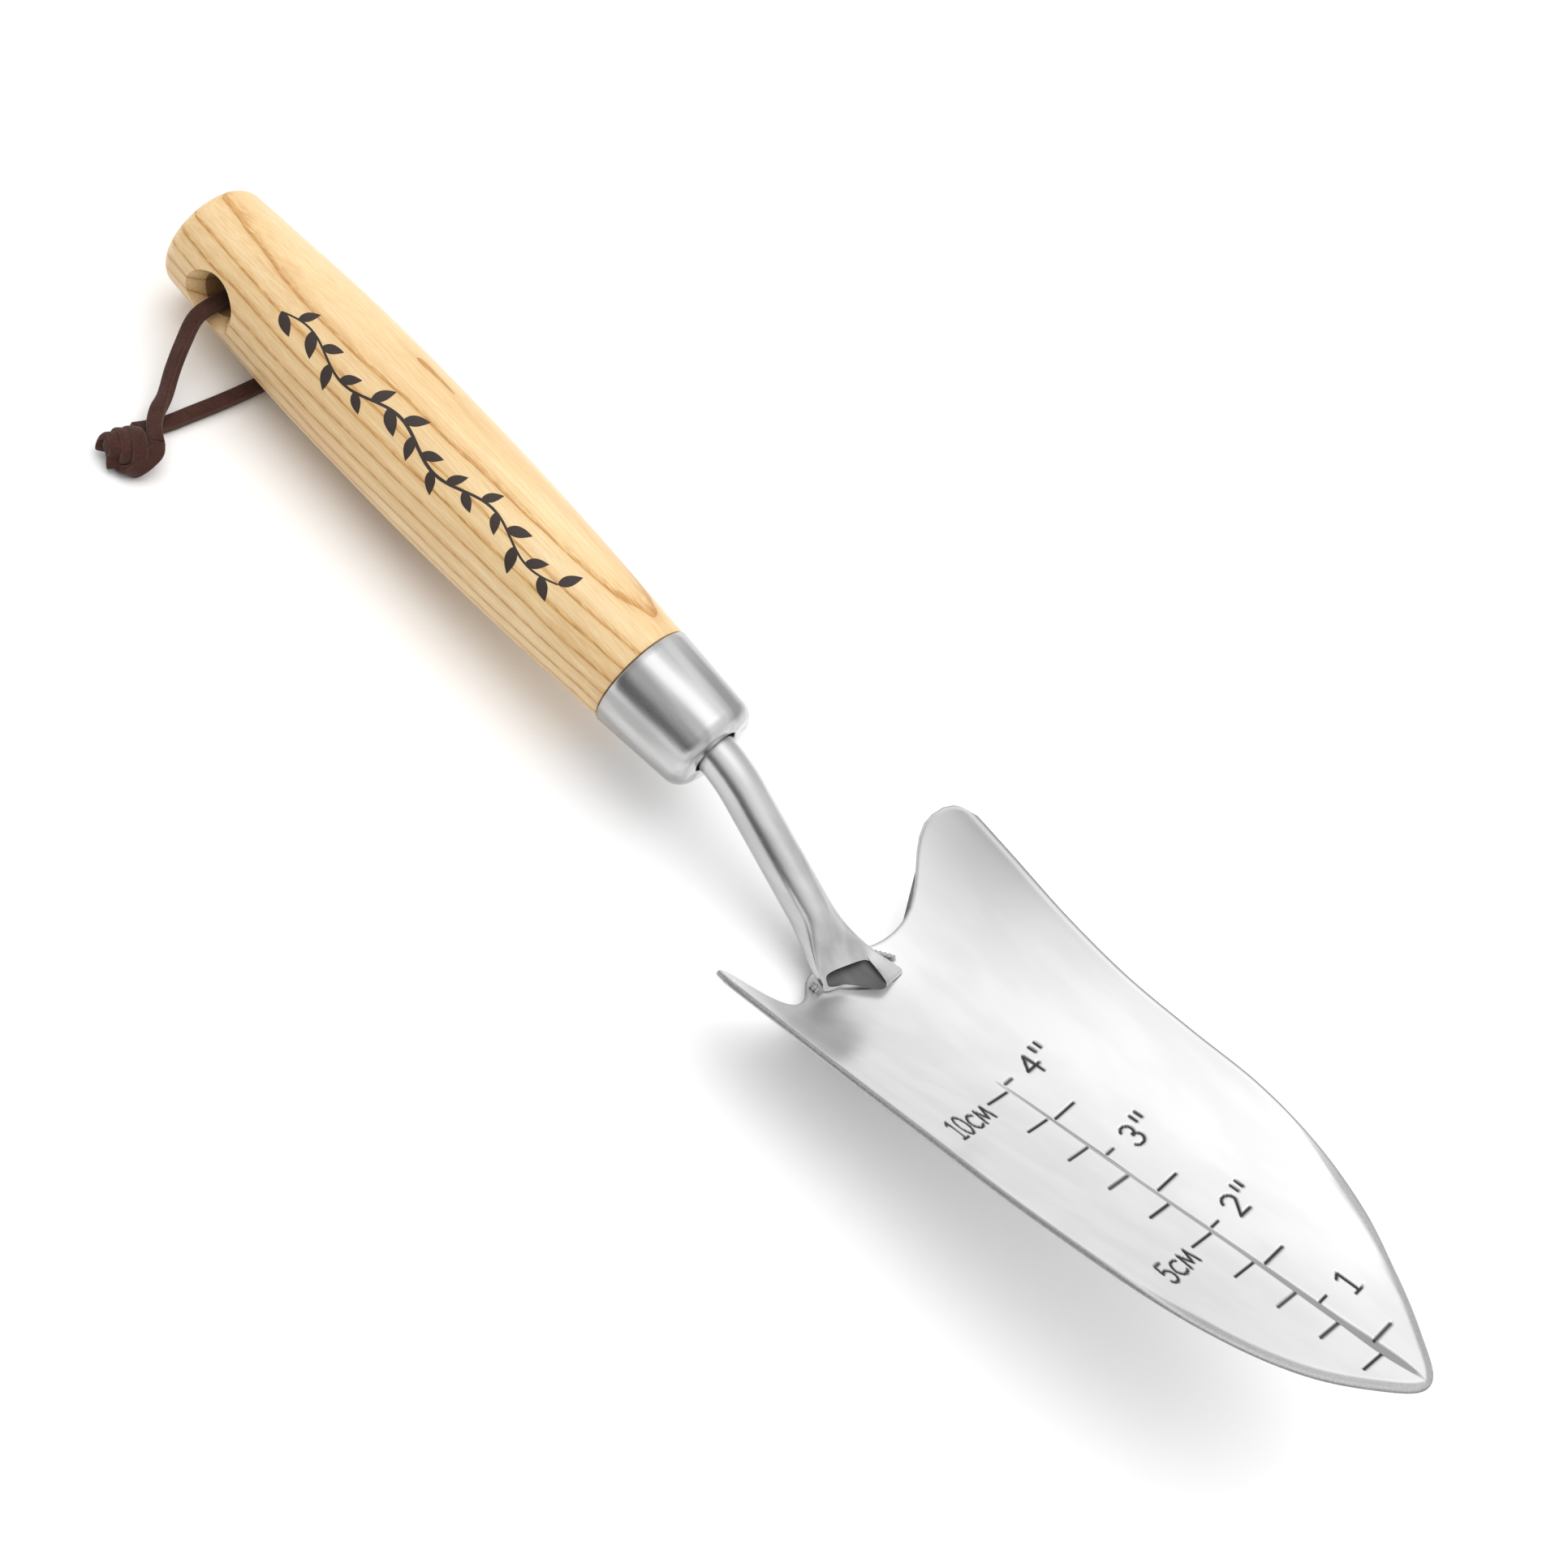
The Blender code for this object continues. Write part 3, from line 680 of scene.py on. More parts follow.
single = node(ticks, "GeometryNodePointsToVertices", [("Points", loose)])
index = node(ticks, "GeometryNodeInputIndex")
parity = maths(ticks, "MODULO", index, 2.0)
length = map_range(ticks, parity, low=given["Odd Length"], high=given["Even Length"])
lean = maths(ticks, "MULTIPLY", length, given["Slant"])
pull = node(ticks, "ShaderNodeCombineXYZ", [("X", lean), ("Y", length)])
drawn = node(ticks, "GeometryNodeExtrudeMesh",
             [("Mesh", single), ("Offset", pull), ("Offset Scale", 1.0)],
             mode="VERTICES")
end_tree(ticks, drawn, given["Material"])

RULER_ZERO = 209.55
ALONG_SLOPE = 0.96
CENTIMETRE = 10.0 * ALONG_SLOPE
HALF_INCH = 12.7 * ALONG_SLOPE


def tick_row(first, spacing, count, gap, odd, even, slant):
    seed = add_object("ticks", bpy.data.meshes.new("ticks"))
    values = {"First": first * MM, "Spacing": spacing * MM, "Count": count, "Gap": gap * MM,
              "Odd Length": odd * MM, "Even Length": even * MM, "Slant": slant,
              "Material": blade_steel}
    mesh = run_tree(seed, ticks, values)
    bpy.data.objects.remove(seed)
    return mesh


centimetre_ticks = tick_row(RULER_ZERO - CENTIMETRE, CENTIMETRE, 10, -TICK_GAP, -TICK_LENGTH,
                            -TICK_LENGTH, TICK_SLANT)
inch_ticks = tick_row(RULER_ZERO - HALF_INCH, HALF_INCH, 8, 0.75, 5.7, 2.05, 0.0)
print(len(centimetre_ticks.edges), "centimetre ticks,", len(inch_ticks.edges), "inch ticks")


# %% Figures, as strokes of a pen
def bow(x, y, rx, ry, start, end, steps=10):
    """Points on part of an ellipse; angles in degrees."""
    turn = np.radians(np.linspace(start, end, steps))
    return [(x + rx * math.cos(t), y + ry * math.sin(t)) for t in turn]


# Every figure stands on 0, is 1 high, and is as wide as its second entry.
PEN = {
    "1": ([[(0.05, 0.86), (0.28, 1.0), (0.28, 0.0)], [(0.06, 0.0), (0.5, 0.0)]], 0.52),
    "2": ([bow(0.28, 0.72, 0.28, 0.28, 165, -20) + [(0.05, 0.0), (0.6, 0.0)]], 0.6),
    "3": ([bow(0.26, 0.74, 0.25, 0.26, 150, -80) + bow(0.26, 0.27, 0.29, 0.27, 80, -150)], 0.58),
    "4": ([[(0.45, 0.0), (0.45, 1.0), (0.0, 0.36), (0.62, 0.36)]], 0.62),
    "5": ([[(0.52, 1.0), (0.12, 1.0), (0.06, 0.56)] + bow(0.27, 0.32, 0.29, 0.32, 120, -150)],
          0.58),
    "0": ([bow(0.3, 0.5, 0.3, 0.5, 0, 360, 20)], 0.6),
    "C": ([bow(0.36, 0.36, 0.34, 0.36, 50, 310, 14)], 0.62),
    "M": ([[(0.0, 0.0), (0.1, 0.74), (0.36, 0.12), (0.62, 0.74), (0.72, 0.0)]], 0.76),
    "q": ([[(0.1, 1.12), (0.1, 0.78)], [(0.38, 1.12), (0.38, 0.78)]], 0.48),
}


def write(text, foot, start, height, spacing=0.2):
    """Strokes of a word that reads towards +Y, standing on the line X = foot."""
    strokes, place = [], start
    for figure in text:
        lines, width = PEN[figure]
        for line in lines:
            strokes.append([(foot - v * height, place + u * height) for u, v in line])
        place += (width + spacing) * height
    return strokes, place


figures = []
for word, foot, start in (("1", 188.8, 7.3), ("2q", 163.3, 6.7), ("3q", 139.6, 6.7),
                          ("4q", 115.1, 6.5)):
    strokes, end = write(word, foot, start, 5.1)
    figures += strokes
for word, foot, end_at in (("5CM", 163.9, -8.6), ("10CM", 116.0, -8.6)):
    strokes, end = write(word, foot, 0.0, 5.0, 0.17)
    figures += [[(x, y - end + end_at + 0.8) for x, y in line] for line in strokes]
pen = bmesh.new()
for line in figures:
    corners = [pen.verts.new((x * MM, y * MM, 0.0)) for x, y in line]
    for a, b in zip(corners, corners[1:]):
        pen.edges.new((a, b))
for mesh in (centimetre_ticks, inch_ticks):
    pen.from_mesh(mesh)
ruler_mesh = bpy.data.meshes.new("ruler strokes")
pen.to_mesh(ruler_mesh)
pen.free()
ruler = add_object("ruler strokes", ruler_mesh)
print(len(figures), "pen strokes,", len(ruler_mesh.edges), "lines in all")

# %% Pressing the ruler into the blade
# The distance to the nearest stroke is measured in plan, so the strokes can stay flat.
stamp = new_tree("stamp strokes", [("Strokes", "Object"), ("Half Width", "Float"),
                                   ("Soft Edge", "Float"), ("Depth", "Float"),
                                   ("Burr", "Float"), ("Material", "Material")])
given = node(stamp, "NodeGroupInput").outputs
strokes = node(stamp, "GeometryNodeObjectInfo", [("Object", given["Strokes"])])
here = node(stamp, "GeometryNodeInputPosition")
split = node(stamp, "ShaderNodeSeparateXYZ", [(0, here)])
flat = node(stamp, "ShaderNodeCombineXYZ", [("X", split.outputs["X"]), ("Y", split.outputs["Y"])])
near = node(stamp, "GeometryNodeProximity", [(0, strokes.outputs["Geometry"])],
            target_element="EDGES")
for socket in near.inputs:
    if socket.name in ("Sample Position", "Source Position"):
        stamp.links.new(flat.outputs[0], socket)
inner = maths(stamp, "SUBTRACT", given["Half Width"], given["Soft Edge"])
outer = maths(stamp, "ADD", given["Half Width"], given["Soft Edge"])
pressed = map_range(stamp, near.outputs["Distance"], start=inner, end=outer, low=1.0, high=0.0,
                    smooth=True)
faces_up = node(stamp, "GeometryNodeInputNormal")
up_part = node(stamp, "ShaderNodeSeparateXYZ", [(0, faces_up)])
on_top = maths(stamp, "GREATER_THAN", up_part.outputs["Z"], 0.0)
mask = maths(stamp, "MULTIPLY", pressed, on_top)
wide_ring = maths(stamp, "MULTIPLY", given["Half Width"], 2.2)
ring = map_range(stamp, near.outputs["Distance"], start=outer, end=wide_ring, low=1.0, high=0.0,
                 smooth=True)
ring_only = maths(stamp, "SUBTRACT", ring, pressed)
ring_top = maths(stamp, "MULTIPLY", ring_only, on_top)
raised = maths(stamp, "MULTIPLY", ring_top, given["Burr"])
sunk = maths(stamp, "MULTIPLY", mask, given["Depth"])
lift = maths(stamp, "SUBTRACT", raised, sunk)
move = node(stamp, "ShaderNodeVectorMath", [(0, faces_up), ("Scale", lift)],
            operation="SCALE")
moved = node(stamp, "GeometryNodeSetPosition",
             [("Geometry", given["Geometry"]), ("Offset", move)])
# The strokes are also marked to be painted near black: partly their etched colour, partly a painted
# dark reflection.
before = node(stamp, "GeometryNodeInputNamedAttribute", [("Name", "stamped_and_shade")], data_type="FLOAT")
darkest = maths(stamp, "MAXIMUM", before, mask)
kept = node(stamp, "GeometryNodeStoreNamedAttribute",
            [("Geometry", moved), ("Name", "stamped_and_shade")],
            data_type="FLOAT", domain="POINT")
stamp.links.new(darkest.outputs[0], [s for s in kept.inputs if s.name == "Value" and s.enabled][0])
end_tree(stamp, kept, given["Material"])

blade.data = run_tree(blade, stamp, {"Strokes": ruler, "Half Width": 0.38 * MM,
                                     "Soft Edge": 0.14 * MM, "Depth": 0.22 * MM,
                                     "Burr": 0.02 * MM, "Material": blade_steel})
blade.data.name = "blade_dished"
bpy.data.objects.remove(ruler)
blade.data.shade_smooth()
lay_in_place(blade)
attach(blade, "root")
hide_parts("blade")
print("stamped blade", len(blade.data.polygons), "faces")

# %% [markdown]
# ## The neck
# One steel tube runs out of the handle, bends down to the heel, and is pressed flat where
# it is welded into the scoop. It is lofted through rings like the CAD piece. Unlike that
# piece, its mouth is cut at a slant, its right wall runs on and spreads into a foot, and its
# upper wall is ground back, which shows the wall's thickness as a facet.

# %% Neck
NECK_RADIUS = 4.7
NECK_WALL = 1.2
GAP = 0.3
TANG_DEPTH = 60.0
BEND_START = 20.0
BEND_RADIUS = 32.0
BEND_ANGLE = math.radians(23.7)
PRESS_START = 58.0
MOUTH_HALF_WIDTH = 6.8
MOUTH_RISE = 2.9
MOUTH_OVERHANG = 1.5
LIP_REACH = 4.6
LIP_RISE = 0.2
SEAT_START = 65.0
MOUTH_FACET = 2.0
FOOT_FLARE = 3.2
FOOT_INWARD = 1.0
MOUTH_SCARF = 3.5
MOUTH_SKEW = 3.0
AROUND = 72


def bent_axis(distance):
    bend = BEND_RADIUS * BEND_ANGLE
    past = distance - BEND_START
    if past <= 0:
        return distance, 0.0, 0.0
    angle = min(past, bend) / BEND_RADIUS
    straight = max(past - bend, 0.0)
    x = BEND_START + BEND_RADIUS * math.sin(angle) + straight * math.cos(angle)
    z = -BEND_RADIUS * (1 - math.cos(angle)) - straight * math.sin(angle)
    return x, z, angle


bend_end = BEND_START + BEND_RADIUS * BEND_ANGLE
press_start = bend_end + (PRESS_START - bent_axis(bend_end)[0]) / math.cos(BEND_ANGLE)
press_length = (HEEL - PRESS_START + MOUTH_OVERHANG) / math.cos(BEND_ANGLE)
mouth_centre = float(blade_surface(HEEL, 0.0)) + GAP + MOUTH_RISE
mouth_shift = mouth_centre - bent_axis(press_start + press_length)[1]


def neck_section(distance):
    """Centre, slope, half width, half height, lip and share pressed of one ring."""
    x, z, slope = bent_axis(float(distance))
    share = float(np.clip((distance - press_start) / press_length, 0.0, 1.0))
    eased = share * share * (3 - 2 * share)
    return (x, z + mouth_shift * eased, slope * (1 - 0.5 * eased),
            NECK_RADIUS + (MOUTH_HALF_WIDTH - NECK_RADIUS) * eased,
            NECK_RADIUS + (MOUTH_RISE - NECK_RADIUS) * eased, LIP_REACH * share ** 3, share)


def neck_ring(section, inset, facet=0.0):
    """One ring, squarer towards the mouth, with its cut, its foot and its ground upper wall."""
    x, z, slope, wide, high, lip, share = section
    ring = []
    for k in range(AROUND):
        angle = 2 * math.pi * k / AROUND
        square = 1.0 - 0.48 * share ** 1.5
        across = math.copysign(abs(math.cos(angle)) ** square, math.cos(angle))
        rise = math.copysign(abs(math.sin(angle)) ** square, math.sin(angle))
        on_lip = float(ease((across + 0.45) / 1.2)) * float(ease((0.9 - rise) / 0.95))
        normal = (high - inset) * rise
        scarf = MOUTH_SCARF * (1 - rise) / 2 + MOUTH_SKEW * (1 + across) / 2
        forward = lip * on_lip + scarf * share ** 3 - facet * share ** 4 * max(rise, 0.0)
        px = x + normal * math.sin(slope) + forward
        pz = z + normal * math.cos(slope) + max(forward, 0.0) * LIP_RISE
        spread = FOOT_FLARE + (-FOOT_INWARD - FOOT_FLARE) * inset / NECK_WALL
        py = (wide - inset) * across + spread * on_lip * share ** 5 * max(across, 0.0)
        if px > SEAT_START:
            pz = max(pz, float(blade_surface(px, py)) + GAP + inset)
        ring.append((px, py, pz))
    return ring


stations = list(np.linspace(-TANG_DEPTH, 4.0, 6)) + list(np.linspace(8.0, BEND_START, 6))
stations += list(np.linspace(BEND_START, bend_end, 24))[1:]
stations += list(np.linspace(bend_end, press_start, 10))[1:]
stations += list(np.linspace(press_start, press_start + press_length, 36))[1:]
sections = [neck_section(s) for s in stations]
outside = [neck_ring(s, 0.0, MOUTH_FACET) for s in sections]
lip_edge = [neck_ring(sections[-1], inset, MOUTH_FACET * (1.0 - inset / NECK_WALL))
            for inset in (0.2, 0.6, 1.0)]
inside = [neck_ring(s, NECK_WALL) for s in sections[::-1]]
rings = outside + lip_edge + inside
neck = new_piece("neck_pressed", [p for ring in rings for p in ring],
                 tube_faces(len(rings), AROUND, closed=True), neck_steel)
# Inner faces take the dark bore steel, the painted shade inside the tube.
neck.data.materials.append(bore_shade_steel)
for face in neck.data.polygons:
    face.material_index = int(face.index // AROUND >= len(outside) + len(lip_edge))
outward(neck)
neck.data.shade_smooth()
neck.data.set_sharp_from_angle(angle=math.radians(38))
lay_in_place(neck)
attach(neck, "root")
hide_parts("neck_tube")
print("neck", len(rings), "rings of", AROUND)

# %% [markdown]
# ## The weld
# The neck's foot is joined to the scoop by a thin run of weld on each side.
# A weld is a chain of overlapping puddles, so its radius swells and shrinks along it.


# %% Weld beads
def bead(name, side, reach, slot):
    steps, around, radius = 60, 14, 0.9
    points = []
    for k in range(steps + 1):
        share = k / steps
        x = HEEL + radius + GAP + reach * share
        y = side * (MOUTH_HALF_WIDTH + radius + GAP - 0.15)
        y += FOOT_FLARE * share if side > 0 else 0.0
        z = float(blade_surface(x, y)) + radius * 0.75
        swell = radius * (0.82 + 0.14 * math.sin(share * reach * 7.0)
                          + 0.06 * math.sin(share * reach * 19.0))
        swell *= math.sqrt(max(1.0 - (2 * share - 1) ** 8, 0.02))
        for j in range(around):
            turn = 2 * math.pi * j / around
            points.append((x, y + swell * math.cos(turn), z + swell * math.sin(turn)))
    faces = tube_faces(steps + 1, around)
    faces.append(tuple(range(around)))
    faces.append(tuple(range(steps * around, (steps + 1) * around))[::-1])
    piece = new_piece(name, points, faces, weld_steel)
    outward(piece)
    piece.data.shade_smooth()
    lay_in_place(piece)
    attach(piece, "root")
    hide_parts(slot)
    return piece


bead("weld_bead_left", -1, 2.2, "weld_left")
bead("weld_bead_right", 1, 7.0, "weld_right")
print("two weld beads")

# %% [markdown]
# ## The ferrule
# The ferrule is a steel cup, spun to a slight taper, with a soft shoulder and a hole for
# the neck. A turned piece is one profile spun round its axis, so its points are rings.

# %% Ferrule
FERRULE_LENGTH = 23.0
FERRULE_BACK, FERRULE_FRONT = 12.7, 11.1
FERRULE_EDGE = 3.6
FERRULE_WALL = 1.2
HOLE = NECK_RADIUS + 0.8


def corner(x, radius, size, start, end, steps):
    """A rounded corner of a turned profile, as (x, radius) pairs."""
    turn = np.radians(np.linspace(start, end, steps))
    return [(x + size * math.cos(t), radius + size * math.sin(t)) for t in turn]


def spin(profile, around):
    """Rings of points round the X axis through (x, radius) pairs."""
    points = []
    for x, radius in profile:
        for k in range(around):
            turn = 2 * math.pi * k / around
            points.append((x, radius * math.cos(turn), radius * math.sin(turn)))
    return points


def ferrule_radius(x):
    return FERRULE_BACK - (FERRULE_BACK - FERRULE_FRONT) * x / FERRULE_LENGTH


turn_x = FERRULE_LENGTH - FERRULE_EDGE
turn_r = ferrule_radius(turn_x) - FERRULE_EDGE
profile = [(x, ferrule_radius(x)) for x in np.linspace(GAP + 0.25, turn_x, 14)][:-1]
profile = [(GAP, ferrule_radius(GAP) - 0.2)] + profile
profile += corner(turn_x, turn_r, FERRULE_EDGE, 90, 0, 14)
profile += [(FERRULE_LENGTH, HOLE + 0.5), (FERRULE_LENGTH - 0.12, HOLE + 0.12),
            (FERRULE_LENGTH - 0.5, HOLE), (FERRULE_LENGTH - FERRULE_WALL, HOLE)]
profile += corner(turn_x, turn_r, FERRULE_EDGE - FERRULE_WALL, 0, 90, 8)
profile += [(GAP, ferrule_radius(GAP) - FERRULE_WALL)]
AROUND_FERRULE = 128
ferrule = new_piece("ferrule_spun", spin(profile, AROUND_FERRULE),
                    tube_faces(len(profile), AROUND_FERRULE, closed=True), ferrule_steel)
outward(ferrule)
ferrule.data.shade_smooth()
lay_in_place(ferrule)
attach(ferrule, "root")
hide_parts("ferrule")
print("ferrule", len(profile), "rings of", AROUND_FERRULE)

# %% [markdown]
# ## Ash
# Ash is a pale wood with open pores in bands, one band for each year. A handle is turned
# from a straight stick, so its bands are slices of wide, nearly flat cylinders that run
# along it. Distance from a far-off line gives those cylinders, slow noise bends them, and
# short dark dashes in each band are the pores. All of it follows the piece's own points.

# %% Ash grain, a group
ash_grain, given, out = new_group(
    "ash grain",
    [("Year", "Float", 0.0035), ("Wander", "Float", 0.0036), ("Pores", "Float", 0.6),
     ("Tint", "Color", (1.0, 1.0, 1.0, 1.0))],
    [("Color", "Color"), ("Roughness", "Float"), ("Height", "Float")])
spot = node(ash_grain, "ShaderNodeTexCoord")
centred = node(ash_grain, "ShaderNodeMapping", [("Vector", spot.outputs["Object"])])
centred.inputs["Location"].default_value = (0.0, 0.0154, 0.0225)
centred.inputs["Rotation"].default_value = (0.0, math.radians(2.6), math.radians(-0.5))
slow = vector_maths(ash_grain, "MULTIPLY", spot.outputs["Object"], (14.0, 55.0, 55.0))
bend = noise(ash_grain, slow, 1.0, 3.0, 0.55)
flatten = vector_maths(ash_grain, "MULTIPLY", centred, (0.0, 1.0, 1.0))
distance = vector_maths(ash_grain, "LENGTH", flatten)
bent = maths(ash_grain, "MULTIPLY_ADD", bend.outputs["Fac"], given.outputs["Wander"],
             distance.outputs["Value"])
years = maths(ash_grain, "DIVIDE", bent, given.outputs["Year"])
season = maths(ash_grain, "FRACT", years)
fibre_spot = vector_maths(ash_grain, "MULTIPLY", spot.outputs["Object"], (70.0, 2600.0, 2600.0))
fibre = noise(ash_grain, fibre_spot, 1.0, 3.0)
pore_spot = vector_maths(ash_grain, "MULTIPLY", spot.outputs["Object"], (300.0, 2600.0, 2600.0))
pore_noise = noise(ash_grain, pore_spot, 1.0, 1.0)
patch_spot = vector_maths(ash_grain, "MULTIPLY", spot.outputs["Object"], (22.0, 120.0, 120.0))
patch = noise(ash_grain, patch_spot, 1.0, 2.0)

bands = node(ash_grain, "ShaderNodeValToRGB", [("Fac", season)])
stops = bands.color_ramp.elements
stops[0].position, stops[0].color = 0.0, (0.55, 0.275, 0.07, 1.0)
stops[1].position, stops[1].color = 1.0, (0.66, 0.44, 0.20, 1.0)
for place, colour in ((0.05, (0.59, 0.32, 0.1, 1.0)), (0.13, (0.71, 0.48, 0.225, 1.0)),
                      (0.5, (0.78, 0.57, 0.31, 1.0)), (0.9, (0.73, 0.515, 0.26, 1.0))):
    stop = stops.new(place)
    stop.color = colour
early = map_range(ash_grain, season, start=0.0, end=0.22, low=1.0, high=0.1)
pore_cut = map_range(ash_grain, pore_noise.outputs["Fac"], start=0.47, end=0.56)
pore = maths(ash_grain, "MULTIPLY", pore_cut, early)
pore_amount = maths(ash_grain, "MULTIPLY", pore, given.outputs["Pores"])
fibred = colour_mix(ash_grain, 0.6, bands.outputs["Color"], fibre.outputs["Fac"], "SOFT_LIGHT")
patched = colour_mix(ash_grain, 0.45, fibred, patch.outputs["Fac"], "SOFT_LIGHT")
pored = colour_mix(ash_grain, pore_amount.outputs[0], patched, (0.42, 0.19, 0.045, 1.0))
tinted = colour_mix(ash_grain, 1.0, pored, given.outputs["Tint"], "MULTIPLY")
ash_grain.links.new(tinted, out.inputs["Color"])
satin = map_range(ash_grain, fibre.outputs["Fac"], low=0.36, high=0.5)
ash_grain.links.new(satin.outputs[0], out.inputs["Roughness"])
relief = maths(ash_grain, "SUBTRACT", fibre.outputs["Fac"], pore)
ash_grain.links.new(relief.outputs[0], out.inputs["Height"])


# %% Ash finishes
def ash(name, tint, roughness, coat, depth, pores):
    material, tree, shader = new_material(name, (0.78, 0.58, 0.33), roughness)
    group = place_group(tree, ash_grain, {"Tint": (*tint, 1.0), "Pores": pores})
    tree.links.new(group.outputs["Color"], shader.inputs["Base Color"])
    if coat:
        tree.links.new(group.outputs["Roughness"], shader.inputs["Roughness"])
        shader.inputs["Coat Weight"].default_value = coat
        shader.inputs["Coat Roughness"].default_value = 0.28
    lifted = bump(tree, group.outputs["Height"], depth)
    tree.links.new(lifted.outputs["Normal"], shader.inputs["Normal"])
    return material


varnished_ash = ash("varnished ash", (1.0, 1.0, 1.0), 0.42, 0.2, 0.00003, 0.85)
bored_ash = ash("bored ash", (0.42, 0.34, 0.27), 0.85, 0.0, 0.00016, 1.0)
print("ash", varnished_ash.name, bored_ash.name)

# %% [markdown]
# ## The handle
# The handle is turned on a lathe: a swelling profile, a rounded end, and a spigot that the
# ferrule goes over. A hole is drilled across it near the end, and both mouths are eased.
# The turned body is spun as rings, and a spool of the hole's shape is cut out of it.

# %% Handle body
SHOULDER_R, BELLY_R, BUTT_R = 12.4, 15.3, 12.7
BUTT_EDGE, BUTT_FLAT, BUTT_DOME = 3.2, 6.0, 0.8
HOLE_FROM_BUTT, HOLE_R, HOLE_MOUTH_R, HOLE_FLARE = 16.6, 5.0, 7.6, 5.5
swell = smooth_through(((0.0, 0.0), (0.21, 0.62), (0.42, 0.97), (0.54, 1.0), (0.68, 0.93),
                        (1.0, 0.0)))


def handle_radius(share):
    straight = SHOULDER_R + (BUTT_R - SHOULDER_R) * share
    return straight + (BELLY_R - (SHOULDER_R + BUTT_R) / 2) * swell(share)


edge_start = HANDLE_LENGTH - BUTT_DOME - BUTT_EDGE
bore = NECK_RADIUS + GAP
spigot = FERRULE_LENGTH - FERRULE_WALL - FERRULE_EDGE
lining = FERRULE_WALL + GAP
profile = [(-TANG_DEPTH - GAP, 0.05), (-TANG_DEPTH - GAP, bore), (spigot, bore),
           (spigot, ferrule_radius(spigot) - lining), (0.0, ferrule_radius(0.0) - lining),
           (0.0, handle_radius(0.0) - 0.35), (-0.1, handle_radius(0.0) - 0.1)]
for share in np.linspace(0.004, 1.0, 110):
    profile.append((-share * edge_start, float(handle_radius(share * edge_start / HANDLE_LENGTH))))
rim = profile[-1][1] - BUTT_EDGE
profile += corner(-edge_start, rim, BUTT_EDGE, 90, 165, 14)[1:]
end_x, end_r = profile[-1]
for share in np.linspace(0.0, 1.0, 8)[1:]:
    radius = end_r + (0.05 - end_r) * share
    profile.append((-HANDLE_LENGTH + (HANDLE_LENGTH + end_x) * min(1, max(
        0.0, (radius - BUTT_FLAT) / (end_r - BUTT_FLAT))) ** 1.6, radius))
AROUND_HANDLE = 144
handle = new_piece("handle_turned", spin(profile, AROUND_HANDLE),
                   capped_tube(len(profile), AROUND_HANDLE), varnished_ash)
handle.data.materials.append(bored_ash)
outward(handle)

# %% Hanging hole
mouth = float(handle_radius(1 - HOLE_FROM_BUTT / HANDLE_LENGTH))
half_spool = [(0.05, BELLY_R + 2.0), (HOLE_MOUTH_R + 1.6, BELLY_R + 2.0)]
for share in np.linspace(0.0, 1.0, 16):
    half_spool.append((HOLE_R + (HOLE_MOUTH_R - HOLE_R) * (1 - share) ** 2,
                       mouth - HOLE_FLARE * share))
spool_rows = half_spool + [(r, y) for r, y in [(HOLE_R, v) for v in np.linspace(7, -7, 9)]]
spool_rows += [(r, -y) for r, y in half_spool[::-1]]
AROUND_HOLE = 72
spool_points = []
for radius, y in spool_rows:
    for k in range(AROUND_HOLE):
        turn = 2 * math.pi * k / AROUND_HOLE
        spool_points.append((-(HANDLE_LENGTH - HOLE_FROM_BUTT) + radius * math.cos(turn), y,
                             radius * math.sin(turn)))
spool = new_piece("hole_spool", spool_points, capped_tube(len(spool_rows), AROUND_HOLE),
                  varnished_ash)
outward(spool)
cut = handle.modifiers.new("hanging hole", "BOOLEAN")
cut.operation = "DIFFERENCE"
cut.object = spool
cut.solver = "EXACT"
handle.data = applied(handle)
bpy.data.objects.remove(spool)
inner_faces = 0
for face in handle.data.polygons:
    centre = face.center / MM
    from_axis = math.hypot(centre.x + HANDLE_LENGTH - HOLE_FROM_BUTT, centre.z)
    face.material_index = 1 if from_axis < HOLE_R + 0.08 and abs(centre.y) < 11 else 0
    inner_faces += face.material_index
handle.data.shade_smooth()
handle.data.set_sharp_from_angle(angle=math.radians(32))
lay_in_place(handle)
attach(handle, "root")
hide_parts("handle")
print("handle", len(handle.data.polygons), "faces,", inner_faces, "of them in the bore")

# %% [markdown]
# ## A printed sprig
# The handle's face carries a dark brown print. A plain leafy sprig of no maker's design
# is used here. Leaves repeat along a stem, which is work for Geometry Nodes: the stem is
# resampled, a leaf goes on each point, and every second one leans the other way.
# The flat sprig is then wrapped on to the handle a few hundredths of a millimetre proud.

# %% Sprig, drawn by Geometry Nodes
print_ink = new_material("brown print", (0.028, 0.017, 0.013), 0.5)
ink_tree, ink_shader = print_ink[1], print_ink[2]
ink_spot = node(ink_tree, "ShaderNodeTexCoord")
ink_noise = noise(ink_tree, ink_spot.outputs["Object"], 900.0, 3.0)
ink_ramp = map_range(ink_tree, ink_noise.outputs["Fac"], low=0.4, high=0.6)
ink_tree.links.new(ink_ramp.outputs[0], ink_shader.inputs["Roughness"])
ink_colour = colour_mix(ink_tree, ink_noise.outputs["Fac"], (0.024, 0.014, 0.011, 1.0),
                        (0.038, 0.024, 0.017, 1.0))
ink_tree.links.new(ink_colour, ink_shader.inputs["Base Color"])

